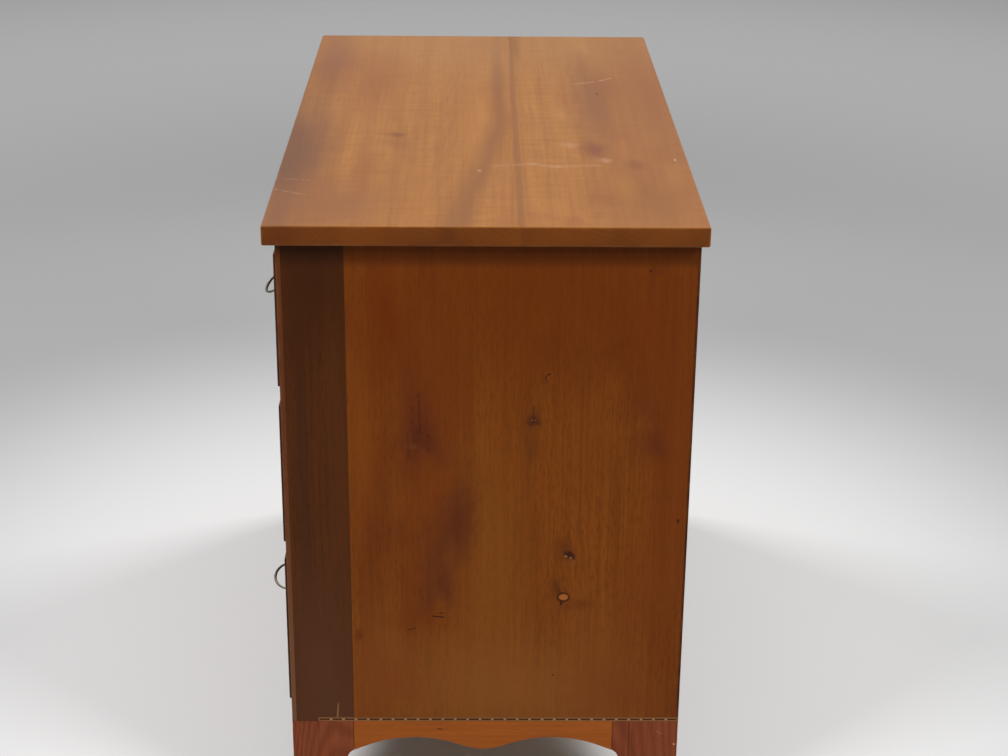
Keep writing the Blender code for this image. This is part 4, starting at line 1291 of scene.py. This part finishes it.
@dataclass(frozen=True)
class Base:
    """The scalloped skirts and the feet."""

    foot_arris: float = 0.0008
    skirt_seed: float = 31.0
    front_foot_seed: float = 33.0
    rear_foot_seed: float = 35.0
    front_skirt_seed: float = 37.0
    RIGHT_SKIRT_MARKS = (
        Line(on_right(-47.5, 142.4), on_right(-43, 142), 0.0011, CHECK_BLACK, 0.85),
    )
    REAR_FOOT_MARKS = (
        Line(on_right(193.5, 154), on_right(194, 50), 0.0010, (0.05, 0.014, 0.006), 0.8),
        Spot(on_right(251.5, 120.1), (0.02, 0.0016, 0.0014), (0.60, 0.42, 0.30), 0.9),
        Line(on_right(229, 139.5), on_right(236.5, 133.5), 0.0010, (0.30, 0.12, 0.06), 0.4),
        Line(on_right(236.5, 133.5), on_right(238, 131), 0.0012, CHECK_BLACK, 0.5),
    )

    def build(self) -> None:
        """Makes the skirts and the feet."""
        for index, side in enumerate(("right", "left")):
            is_right = side == "right"
            Board(
                f"{side}_skirt", SKIRT_CHERRY, Grain.Y, "skirt_wood", self.skirt_seed + index,
                marks=self.RIGHT_SKIRT_MARKS if is_right else (),
                joints=(Face.TOP, Face.FRONT, Face.BACK), curved=True,
            ).build()
            for place, seed, marks in (
                ("front", self.front_foot_seed, ()),
                ("rear", self.rear_foot_seed, self.REAR_FOOT_MARKS if is_right else ()),
            ):
                Board(
                    f"{place}_{side}_foot", FOOT_CHERRY, Grain.Z, "foot_wood", seed + index, marks=marks,
                    joints=(Face.TOP,), curved=True, radius=self.foot_arris,
                ).build()
        Board(
            "front_skirt", SKIRT_CHERRY, Grain.X, "skirt_wood", self.front_skirt_seed,
            joints=(Face.TOP, Face.LEFT, Face.RIGHT), curved=True,
        ).build()


def loft(shape: bmesh.types.BMesh, rings: list[list[bmesh.types.BMVert]]) -> None:
    """Joins rings of equal count with quads and caps both ends.

    Args:
        shape: The mesh that the rings are in.
        rings: The rings in order.
    """
    for first, second in zip(rings, rings[1:]):
        for index, vert in enumerate(first):
            following = (index + 1) % len(first)
            shape.faces.new((vert, first[following], second[following], second[index]))
    shape.faces.new(rings[0])
    shape.faces.new(rings[-1])


def smooth_mesh(shape: bmesh.types.BMesh, name: str, sharp: float = ROUND_ANGLE) -> bpy.types.Mesh:
    """Ends a bmesh with its faces out and its round faces shaded smooth.

    Args:
        shape: The finished shape, which is freed.
        name: The mesh's name.
        sharp: The angle from which an edge stays sharp.

    Returns:
        The new mesh.
    """
    bmesh.ops.recalc_face_normals(shape, faces=shape.faces)
    mesh = bpy.data.meshes.new(name)
    shape.to_mesh(mesh)
    shape.free()
    mesh.shade_smooth()
    mesh.set_sharp_from_angle(angle=sharp)
    return mesh


@dataclass(frozen=True)
class Bead:
    """The thin half-round frame let into a drawer front's edges."""

    level: str
    thick: float = 0.003
    steps: int = 8
    sharp: float = math.radians(50)

    def build(self, seed: float) -> None:
        """Sweeps the bead's section round the drawer front with mitred corners.

        Args:
            seed: Shifts the wood's pattern.
        """
        node = f"{self.level}_drawer_cockbead"
        low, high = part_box(node)
        nose = self.thick / 2
        section = [(0.0, high.y)]
        for step in range(self.steps + 1):
            angle = math.pi * step / self.steps
            section.append((nose - nose * math.cos(angle), low.y + nose - nose * math.sin(angle)))
        section.append((self.thick, high.y))
        corners = (
            (low.x, low.z, 1, 1),
            (high.x, low.z, -1, 1),
            (high.x, high.z, -1, -1),
            (low.x, high.z, 1, -1),
        )
        shape = bmesh.new()
        rings = []
        for x, z, inward_x, inward_z in corners:
            points = [(x + inward_x * inset, y, z + inward_z * inset) for inset, y in section]
            rings.append([shape.verts.new(point) for point in points])
        for first, second in zip(rings, rings[1:] + rings[:1]):
            for index in range(len(section)):
                following = (index + 1) % len(section)
                shape.faces.new((first[index], first[following], second[following], second[index]))
        mesh = smooth_mesh(shape, f"{self.level}_bead", self.sharp)
        obj = add_object(mesh.name, mesh)
        mesh.materials.append(BEAD_WOOD.material(mesh.name, Grain.X, seed, (), tuple(low), tuple(high)))
        finish_piece(obj, f"{self.level}_drawer", "bead_wood", node)


ROW_INPUTS = {"Start": "NodeSocketVector", "Step": "NodeSocketVector", "Count": "NodeSocketInt"}


class Geometry:
    """A Geometry Nodes tree that makes one kind of repeated or swept piece."""

    def __init__(self, name: str, inputs: dict[str, str]) -> None:
        """Starts a tree.

        Args:
            name: The tree's name.
            inputs: Socket types by input name.
        """
        self.tree = bpy.data.node_groups.new(name, "GeometryNodeTree")
        self.graph = Graph(self.tree)
        self.tree.interface.new_socket("Geometry", in_out="INPUT", socket_type="NodeSocketGeometry")
        self.identifiers = {
            label: self.tree.interface.new_socket(label, in_out="INPUT", socket_type=kind).identifier
            for label, kind in inputs.items()
        }
        self.tree.interface.new_socket("Geometry", in_out="OUTPUT", socket_type="NodeSocketGeometry")
        self.inputs = self.tree.nodes.new("NodeGroupInput").outputs

    def line(self) -> bpy.types.NodeSocket:
        """The points of a row, as the tree's Start, Step and Count give them.

        Returns:
            The points.
        """
        start, step, count = (self.inputs[label] for label in ROW_INPUTS)
        inputs = {"Count": count, "Start Location": start, "Offset": step}
        return self.graph.node("GeometryNodeMeshLine", inputs, mode="OFFSET").outputs[0]

    def random(self, low: Value, high: Value, seed: int) -> bpy.types.NodeSocket:
        """A random vector for each point, between two others."""
        inputs = {"Min": low, "Max": high, "Seed": seed}
        return self.graph.node("FunctionNodeRandomValue", inputs, data_type="FLOAT_VECTOR").outputs[0]

    def scatter(self, points: Value, piece: bpy.types.Node, **turns: Value) -> None:
        """Puts a piece on every point and ends the tree.

        Args:
            points: Where the pieces go.
            piece: The node that makes one piece.
            turns: Each piece's Rotation and Scale.
        """
        inputs = {"Points": points, "Instance": piece.outputs[0], **turns}
        self.end(self.graph.node("GeometryNodeInstanceOnPoints", inputs).outputs[0])

    def end(self, shape: bpy.types.NodeSocket) -> None:
        """Realizes a shape, gives it the tree's material and sends it out.

        Args:
            shape: The geometry to send out.
        """
        real = self.graph.node("GeometryNodeRealizeInstances", {0: shape}).outputs[0]
        inputs = {"Geometry": real, "Material": self.inputs["Material"]}
        painted = self.graph.node("GeometryNodeSetMaterial", inputs)
        output = self.tree.nodes.new("NodeGroupOutput")
        self.graph.feed(output.inputs[0], painted.outputs[0])

    def make(self, name: str, values: dict[str, object], mesh: bpy.types.Mesh) -> bpy.types.Object:
        """Runs the tree on a mesh and keeps the result as a plain mesh.

        Args:
            name: The new object's name.
            values: Values by input name.
            mesh: What the tree starts from.

        Returns:
            The finished object.
        """
        obj = add_object(name, mesh)
        modifier = obj.modifiers.new(name, "NODES")
        modifier.node_group = self.tree
        for label, value in values.items():
            modifier[self.identifiers[label]] = value
        plain_mesh(obj)
        obj.data.name = name
        return obj


@dataclass
class Inlay:
    """The banded line round the foot of the case: a light strip with dark dashes let into it."""

    pitch: float = 0.0157
    dash_share: float = 0.76
    block_share: float = 0.19
    height: float = 0.0021
    proud: float = 0.00006
    uneven: float = 0.06
    row_seed: int = 5
    block_seed: float = 41.0
    right_seed: float = 43.0
    front_seed: float = 45.0
    row: Geometry = field(init=False)

    def __post_init__(self) -> None:
        """Builds the tree that lays a row of dashes."""
        self.row = Geometry(
            "inlay_dashes",
            ROW_INPUTS
            | {
                "Size": "NodeSocketVector",
                "Jitter": "NodeSocketVector",
                "Material": "NodeSocketMaterial",
            },
        )
        graph, inputs = self.row.graph, self.row.inputs
        line = self.row.line()
        low = graph.vector("SUBTRACT", (1.0, 1.0, 1.0), inputs["Jitter"])
        high = graph.vector("ADD", (1.0, 1.0, 1.0), inputs["Jitter"])
        uneven = self.row.random(low, high, self.row_seed)
        block = graph.node("GeometryNodeMeshCube", {"Size": inputs["Size"]})
        self.row.scatter(line, block, Scale=uneven)

    def blocks(
        self, name: str, first: Vector, step: Vector, count: int, size: Vector, wood: Wood
    ) -> None:
        """Lays one row of blocks.

        Args:
            name: The new piece's name.
            first: The first block's middle.
            step: From one block to the next.
            count: How many.
            size: A block's size.
            wood: What the blocks are of.
        """
        along = Vector([abs(part) for part in step.normalized()])
        grain = Grain.X if along.x > 0.5 else Grain.Y
        low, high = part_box("front_inlay_band")
        values = {
            "Start": first,
            "Step": step,
            "Count": count,
            "Size": size,
            "Jitter": along * self.uneven,
            "Material": wood.material(name, grain, self.block_seed, (), tuple(low), tuple(high)),
        }
        obj = self.row.make(name, values, bpy.data.meshes.new(name))
        finish_piece(obj, "case", "inlay_wood")

    def run(self, name: str, start: Vector, end: Vector, outward: Vector) -> None:
        """Lays the dark dashes and light blocks of one straight run.

        Args:
            name: The run's name.
            start: Where the run starts, on the band's outer face at mid height.
            end: Where it ends.
            outward: The outer face's direction.
        """
        span = end - start
        count = round(span.length / self.pitch)
        step = span / count
        thick = outward * 2 * self.proud + Vector((0, 0, self.height))
        dash = Vector([abs(part) for part in step * self.dash_share + thick])
        block = Vector([abs(part) for part in step * self.block_share + thick])
        self.blocks(f"{name}_inlay_dashes", start + step / 2, step, count, dash, INLAY_DARK)
        self.blocks(f"{name}_inlay_blocks", start + step, step, count - 1, block, INLAY_LIGHT)

    def build(self) -> None:
        """Makes the light strips and the dashes of each run."""
        for node, grain, seed in (
            ("right_inlay_band", Grain.Y, self.right_seed),
            ("front_inlay_band", Grain.X, self.front_seed),
        ):
            Board(node, INLAY_STRIP, grain, "inlay_wood", seed, joints=tuple(Face)).build()
        low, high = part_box("right_inlay_band")
        middle = (low.z + high.z) / 2
        right = (Vector((high.x, low.y, middle)), Vector((high.x, high.y, middle)), Vector((1, 0, 0)))
        self.run("right", *right)
        low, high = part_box("front_inlay_band")
        corner = Vector((low.x, low.y, middle))
        self.run("front", corner, Vector((high.x, low.y, middle)), Vector((0, -1, 0)))
        self.run("left", corner, Vector((low.x, high.y, middle)), Vector((-1, 0, 0)))


@dataclass(frozen=True)
class Pull:
    """An oval plate with two turned posts, and a bail that swings between them."""

    plate_length: float = 0.092
    plate_height: float = 0.056
    plate_thick: float = 0.0012
    back_round: float = 0.0004
    edge_round: float = 0.0003
    rim_width: float = 0.0012
    rim_rise: float = 0.0008
    rim_round: float = 0.0001
    seat: float = 0.0003
    post_spacing: float = 0.060
    head_radius: float = 0.0037
    neck_radius: float = 0.0022
    collar_radius: float = 0.0045
    collar_height: float = 0.0010
    collar_round: float = 0.0004
    neck_flare: float = 0.0006
    pivot_out: float = 0.0105
    nut_radius: float = 0.0050
    nut_thick: float = 0.0035
    bail_drop: float = 0.0202
    bail_radius: float = 0.0017
    pin_radius: float = 0.0013
    pin_past: float = 0.002
    arm_gap: float = 0.0005
    arm_bend: float = 0.0025
    plate_steps: int = 96
    post_steps: int = 24
    ball_steps: int = 10
    bend_steps: int = 4
    bail_steps: int = 64

    def plate_rings(self) -> list[tuple[float, float]]:
        """The plate's section, from its back over the rim to the field.

        Returns:
            Insets from the border, each with its height.
        """
        face = self.seat + self.plate_thick
        rim = face + self.rim_rise
        width = self.rim_width
        return [
            (self.back_round, self.seat),
            (0.0, self.seat + self.back_round),
            (0.0, face - self.edge_round),
            (self.edge_round, face),
            (width, rim - self.rim_round),
            (width * 1.25, rim),
            (width * 1.75, rim),
            (width * 2, rim - self.rim_round),
            (width * 3, face),
            (width * 4, face),
        ]

    def post_profile(self, front_thick: float) -> list[tuple[float, float]]:
        """A post's section, from its ball head to the nut behind the drawer front.

        Args:
            front_thick: How thick the drawer front is.

        Returns:
            Radii, each with its height.
        """
        collar_top = self.seat + self.plate_thick + self.collar_height
        sweep = RIGHT_ANGLE + math.acos(self.neck_radius / self.head_radius)
        ball = [RIGHT_ANGLE - sweep * step / self.ball_steps for step in range(self.ball_steps + 1)]
        nut = -front_thick - self.seat
        head = [
            (self.head_radius * math.cos(angle), self.pivot_out + self.head_radius * math.sin(angle))
            for angle in ball
        ]
        return [
            (0.0, head[0][1]),
            *head[1:],
            (self.neck_radius, collar_top + self.neck_flare),
            (self.neck_radius + self.collar_round, collar_top),
            (self.collar_radius - self.collar_round, collar_top),
            (self.collar_radius, collar_top - self.collar_round),
            (self.collar_radius, self.seat + self.plate_thick / 2),
            (self.neck_radius, self.seat + self.plate_thick / 2),
            (self.neck_radius, nut),
            (self.nut_radius, nut),
            (self.nut_radius, nut - self.nut_thick),
            (0.0, nut - self.nut_thick),
        ]

    def plate_mesh(self, name: str, middle: Vector, front_thick: float) -> bpy.types.Mesh:
        """The plate and its posts as one mesh, each a closed body.

        Args:
            name: The mesh's name.
            middle: The pull's middle on the drawer face.
            front_thick: How thick the drawer front is.

        Returns:
            The new mesh.
        """
        shape = bmesh.new()
        rings = []
        for inset, out in self.plate_rings():
            ring = []
            for step in range(self.plate_steps):
                angle = 2 * math.pi * step / self.plate_steps
                x = (self.plate_length / 2 - inset) * math.cos(angle)
                z = (self.plate_height / 2 - inset) * math.sin(angle)
                ring.append(shape.verts.new(middle + Vector((x, -out, z))))
            rings.append(ring)
        loft(shape, rings)
        profile = self.post_profile(front_thick)
        for sign in (-1, 1):
            centre = middle + Vector((sign * self.post_spacing / 2, 0, 0))
            turns = []
            for radius, out in profile[1:-1]:
                ring = []
                for step in range(self.post_steps):
                    turn = 2 * math.pi * step / self.post_steps
                    offset = Vector((radius * math.cos(turn), -out, radius * math.sin(turn)))
                    ring.append(shape.verts.new(centre + offset))
                turns.append(ring)
            loft(shape, turns)
        return smooth_mesh(shape, name)

    def bail_path(self) -> list[tuple[float, float]]:
        """A hanging bail's centre line, from one pin's end to the other.

        Returns:
            Points in X and Z about the bail's axis.
        """
        half = self.post_spacing / 2 + self.head_radius + self.arm_gap + self.pin_radius
        right = [(self.post_spacing / 2 - self.pin_past, 0.0), (half - self.arm_bend, 0.0)]
        for step in range(1, self.bend_steps):
            turn = RIGHT_ANGLE * step / self.bend_steps
            right.append(
                (half - self.arm_bend * (1 - math.sin(turn)), -self.arm_bend * (1 - math.cos(turn)))
            )
        start = math.asin(self.arm_bend / self.bail_drop)
        sweep = math.pi - 2 * start
        angles = [start + sweep * step / self.bail_steps for step in range(self.bail_steps + 1)]
        oval = [(half * math.cos(angle), -self.bail_drop * math.sin(angle)) for angle in angles]
        return right + oval + [(-x, z) for x, z in reversed(right)]


@dataclass
class Pulls:
    """The six pulls: plates that stay on their drawers and bails that swing."""

    joints: Sequence[dict]
    pull: Pull = Pull()
    sides_round: int = 14
    axes: dict[str, Vector] = field(init=False)
    sweep: Geometry = field(init=False)
    LIFTS = {"upper_right": math.radians(56), "lower_right": math.radians(93)}

    def __post_init__(self) -> None:
        """Finds each bail's axis and builds the tree that sweeps a bail."""
        self.axes = {
            joint["child"]: Vector(joint["pos_m"])
            for joint in self.joints
            if joint["child"].endswith("_bail")
        }
        self.sweep = Geometry("bail", {"Sides": "NodeSocketInt", "Material": "NodeSocketMaterial"})
        graph, inputs = self.sweep.graph, self.sweep.inputs
        thickness = graph.node(
            "GeometryNodeInputNamedAttribute", {"Name": "thickness"}, data_type="FLOAT"
        )
        path = graph.node("GeometryNodeMeshToCurve", {0: inputs["Geometry"]})
        ring = graph.node(
            "GeometryNodeCurvePrimitiveCircle", {"Resolution": inputs["Sides"], "Radius": 1.0}
        )
        tube = graph.node(
            "GeometryNodeCurveToMesh",
            {
                "Curve": path.outputs[0],
                "Profile Curve": ring.outputs[0],
                "Scale": thickness.outputs[0],
                "Fill Caps": True,
            },
        )
        smooth = graph.node("GeometryNodeSetShadeSmooth", {0: tube.outputs[0]})
        self.sweep.end(smooth.outputs[0])

    def bail(self, name: str, brass: bpy.types.Material) -> None:
        """Sweeps one bail at its rest position.

        Args:
            name: Its level and side.
            brass: Its metal.
        """
        axis = self.axes[f"{name}_bail"]
        lift = Matrix.Rotation(-self.LIFTS.get(name, 0.0), 3, "X")
        path = self.pull.bail_path()
        mesh = bpy.data.meshes.new(f"{name}_bail_wire")
        points = [axis + lift @ Vector((x, 0, z)) for x, z in path]
        mesh.from_pydata(points, [(index, index + 1) for index in range(len(points) - 1)], [])
        thickness = mesh.attributes.new("thickness", "FLOAT", "POINT")
        for value, (_, z) in zip(thickness.data, path):
            swell = (z / self.pull.bail_drop) ** 2
            growth = self.pull.bail_radius - self.pull.pin_radius
            value.value = self.pull.pin_radius + growth * swell
        obj = self.sweep.make(mesh.name, {"Sides": self.sides_round, "Material": brass}, mesh)
        finish_piece(obj, f"{name}_bail", "brass", f"{name}_bail")

    def build(self) -> None:
        """Makes the plates and bails of every drawer."""
        plate_brass = PLATE_BRASS.material("plate_brass")
        bail_brass = BAIL_BRASS.material("bail_brass")
        for level in LEVELS:
            front_low, front_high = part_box(f"{level}_drawer_front")
            for side in ("left", "right"):
                name = f"{level}_{side}"
                axis = self.axes[f"{name}_bail"]
                middle = Vector((axis.x, front_low.y, axis.z))
                mesh = self.pull.plate_mesh(f"{name}_plate", middle, front_high.y - front_low.y)
                mesh.materials.append(plate_brass)
                plate = add_object(mesh.name, mesh)
                finish_piece(plate, f"{level}_drawer", "brass", f"{name}_pull_plate")
                self.bail(name, bail_brass)


@dataclass(frozen=True)
class Drawers:
    """Three drawers: figured fronts, plain boxes and cockbeads."""

    box_arris: float = 0.0005
    first_seed: float = 51.0
    seed_step: float = 6.0
    bead_shift: float = 5.0
    BOX = {"left_side": Grain.Y, "right_side": Grain.Y, "back": Grain.X, "bottom": Grain.X}

    def build(self) -> None:
        """Makes every drawer's boards and bead."""
        for index, level in enumerate(LEVELS):
            body = f"{level}_drawer"
            seed = self.first_seed + self.seed_step * index
            Board(
                f"{body}_front", DRAWER_CHERRY, Grain.X, "drawer_wood", seed, body, joints=tuple(Face)
            ).build()
            for offset, (board, grain) in enumerate(self.BOX.items(), 1):
                node = f"{body}_{board}"
                arris = self.box_arris
                Board(node, PINE, grain, "inside_wood", seed + offset, body, radius=arris).build()
            Bead(level).build(seed + self.bead_shift)


@dataclass
class Nails:
    """Cut nails that hold the backboards in their rabbets."""

    head: float = 0.0032
    rise: float = 0.0011
    inset: float = 0.005
    count: int = 3
    sides: int = 7
    crown_share: float = 0.45
    lean: float = 0.08
    spin: float = 0.6
    smallest: Point = (0.8, 0.65, 1.0)
    largest: Point = (1.1, 0.9, 1.0)
    turn_seed: int = 3
    size_seed: int = 8
    row: Geometry = field(init=False)

    def __post_init__(self) -> None:
        """Builds the tree that drives a row of nails."""
        self.row = Geometry(
            "nail_row",
            ROW_INPUTS
            | {"Head": "NodeSocketFloat", "Rise": "NodeSocketFloat", "Material": "NodeSocketMaterial"},
        )
        graph, inputs = self.row.graph, self.row.inputs
        line = self.row.line()
        crown = graph.math("MULTIPLY", inputs["Head"], self.crown_share)
        head = graph.node(
            "GeometryNodeMeshCone",
            {
                "Vertices": self.sides,
                "Radius Top": crown,
                "Radius Bottom": inputs["Head"],
                "Depth": inputs["Rise"],
            },
        )
        low, high = (-RIGHT_ANGLE, -self.lean, -self.spin), (-RIGHT_ANGLE, self.lean, self.spin)
        turn = self.row.random(low, high, self.turn_seed)
        size = self.row.random(self.smallest, self.largest, self.size_seed)
        self.row.scatter(line, head, Rotation=turn, Scale=size)

    def build(self) -> None:
        """Drives a row of nails into each end of both backboards."""
        iron = NAIL_IRON.material("nail_iron")
        for node in BACK_BOARDS:
            low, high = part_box(node)
            step = (high.z - low.z) / self.count
            for side, x in (("left", low.x + self.inset), ("right", high.x - self.inset)):
                values = {
                    "Start": (x, high.y, low.z + step / 2),
                    "Step": (0.0, 0.0, step),
                    "Count": self.count,
                    "Head": self.head,
                    "Rise": self.rise,
                    "Material": iron,
                }
                name = f"{node}_{side}_nails"
                obj = self.row.make(name, values, bpy.data.meshes.new(name))
                finish_piece(obj, "case", "inside_wood")


@dataclass(frozen=True)
class Lamp:
    """One square soft light."""

    name: str
    place: Point
    aim: Point
    power: float
    size: float = 0.9

    def hang(self) -> None:
        """Hangs the light and points it."""
        data = bpy.data.lights.new(self.name, "AREA")
        data.size = self.size
        data.energy = self.power
        lamp = bpy.data.objects.new(self.name, data)
        bpy.context.scene.collection.objects.link(lamp)
        lamp.location = self.place
        aim = Vector(self.aim) - Vector(self.place)
        lamp.rotation_euler = aim.to_track_quat("-Z", "Y").to_euler()


@dataclass(frozen=True)
class Studio:
    """A pale floor, soft lights and the camera at the photograph's angle."""

    position: Point = (2.57545, -0.00394, 1.49863)
    pitch: float = math.radians(22.5615)
    yaw: float = math.radians(0.9595)
    roll: float = math.radians(0.56)
    lens: float = 69.715
    sensor: float = 36.0
    floor_reach: float = 60.0
    floor_sides: int = 96
    floor_roughness: float = 0.85
    # Painted light and shade on the floor: pale near the chest, grey over grey_reach, pale again over
    # far_reach.
    grey_reach: tuple[float, float] = (0.5, 1.5)
    far_reach: tuple[float, float] = (2.2, 4.8)
    floor_pale: Colour = (0.72, 0.72, 0.722)
    floor_painted_shade: Colour = (0.350, 0.350, 0.354)
    floor_far: Colour = (0.92, 0.92, 0.925)
    floor_bounce: Colour = (0.50, 0.50, 0.50)
    sky: float = 0.28
    LAMPS = (
        Lamp("near_left_light", (1.78, -1.78, 2.2), (0.3, 0.0, 0.5), 50.0),
        Lamp("near_right_light", (1.78, 1.78, 2.2), (0.3, 0.0, 0.5), 50.0),
        Lamp("far_left_light", (-1.6, -1.7, 2.6), (-0.3, 0.0, 0.5), 46.0),
        Lamp("far_right_light", (-1.6, 1.7, 2.6), (-0.3, 0.0, 0.5), 46.0),
    )

    def camera(self) -> None:
        """Sets the camera where the photograph was taken."""
        forward = Vector((
            -math.cos(self.pitch) * math.cos(self.yaw),
            math.cos(self.pitch) * math.sin(self.yaw),
            -math.sin(self.pitch),
        ))
        level = forward.cross(Vector((0, 0, 1))).normalized()
        upright = level.cross(forward)
        right = level * math.cos(self.roll) + upright * math.sin(self.roll)
        up = upright * math.cos(self.roll) - level * math.sin(self.roll)
        data = bpy.data.cameras.new("photo_camera")
        data.sensor_width = self.sensor
        data.lens = self.lens
        camera = bpy.data.objects.new("photo_camera", data)
        bpy.context.scene.collection.objects.link(camera)
        turn = Matrix((right, up, -forward)).transposed().to_4x4()
        camera.matrix_world = Matrix.Translation(self.position) @ turn
        bpy.context.scene.camera = camera

    def floor(self) -> None:
        """Lays a wide floor with painted light and shade: pale round the chest, a painted grey shade in a
        ring beyond it, and pale again far off.
        """
        shape = bmesh.new()
        bmesh.ops.create_circle(
            shape, cap_ends=True, segments=self.floor_sides, radius=self.floor_reach
        )
        mesh = bpy.data.meshes.new("floor")
        shape.to_mesh(mesh)
        shape.free()
        floor = add_object("floor", mesh)
        material, graph, shader = new_material("floor_paper")
        place = graph.node("ShaderNodeTexCoord", {}).outputs["Object"]
        reach = graph.length(place)
        # Painted shade: grey in a ring round the chest, then painted pale again far off.
        colour = graph.mix(graph.ease(reach, *self.grey_reach), self.floor_pale, self.floor_painted_shade)
        colour = graph.mix(graph.ease(reach, *self.far_reach), colour, self.floor_far)
        path = graph.node("ShaderNodeLightPath", {}).outputs
        seen = graph.math("MAXIMUM", path["Is Camera Ray"], path["Is Glossy Ray"])
        seen = graph.math("MAXIMUM", seen, path["Is Transmission Ray"])
        graph.feed(shader.inputs["Base Color"], graph.mix(seen, self.floor_bounce, colour))
        shader.inputs["Roughness"].default_value = self.floor_roughness
        mesh.materials.append(material)

    def build(self) -> None:
        """Sets up the camera, the floor and the light."""
        self.camera()
        self.floor()
        world = bpy.data.worlds.new("studio")
        world.use_nodes = True
        background = world.node_tree.nodes["Background"]
        background.inputs["Color"].default_value = (1.0, 1.0, 1.0, 1.0)
        background.inputs["Strength"].default_value = self.sky
        bpy.context.scene.world = world
        for lamp in self.LAMPS:
            lamp.hang()
        bpy.context.scene.view_settings.view_transform = "Standard"


def main() -> None:
    """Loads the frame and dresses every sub-assembly."""
    logging.basicConfig(level=logging.INFO, format="%(name)s: %(message)s")
    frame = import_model()
    Studio().build()
    Top().build()
    Ends().build()
    Case().build()
    Base().build()
    Drawers().build()
    Inlay().build()
    Pulls(frame["joints"]).build()
    Nails().build()


if __name__ == "__main__":
    main()
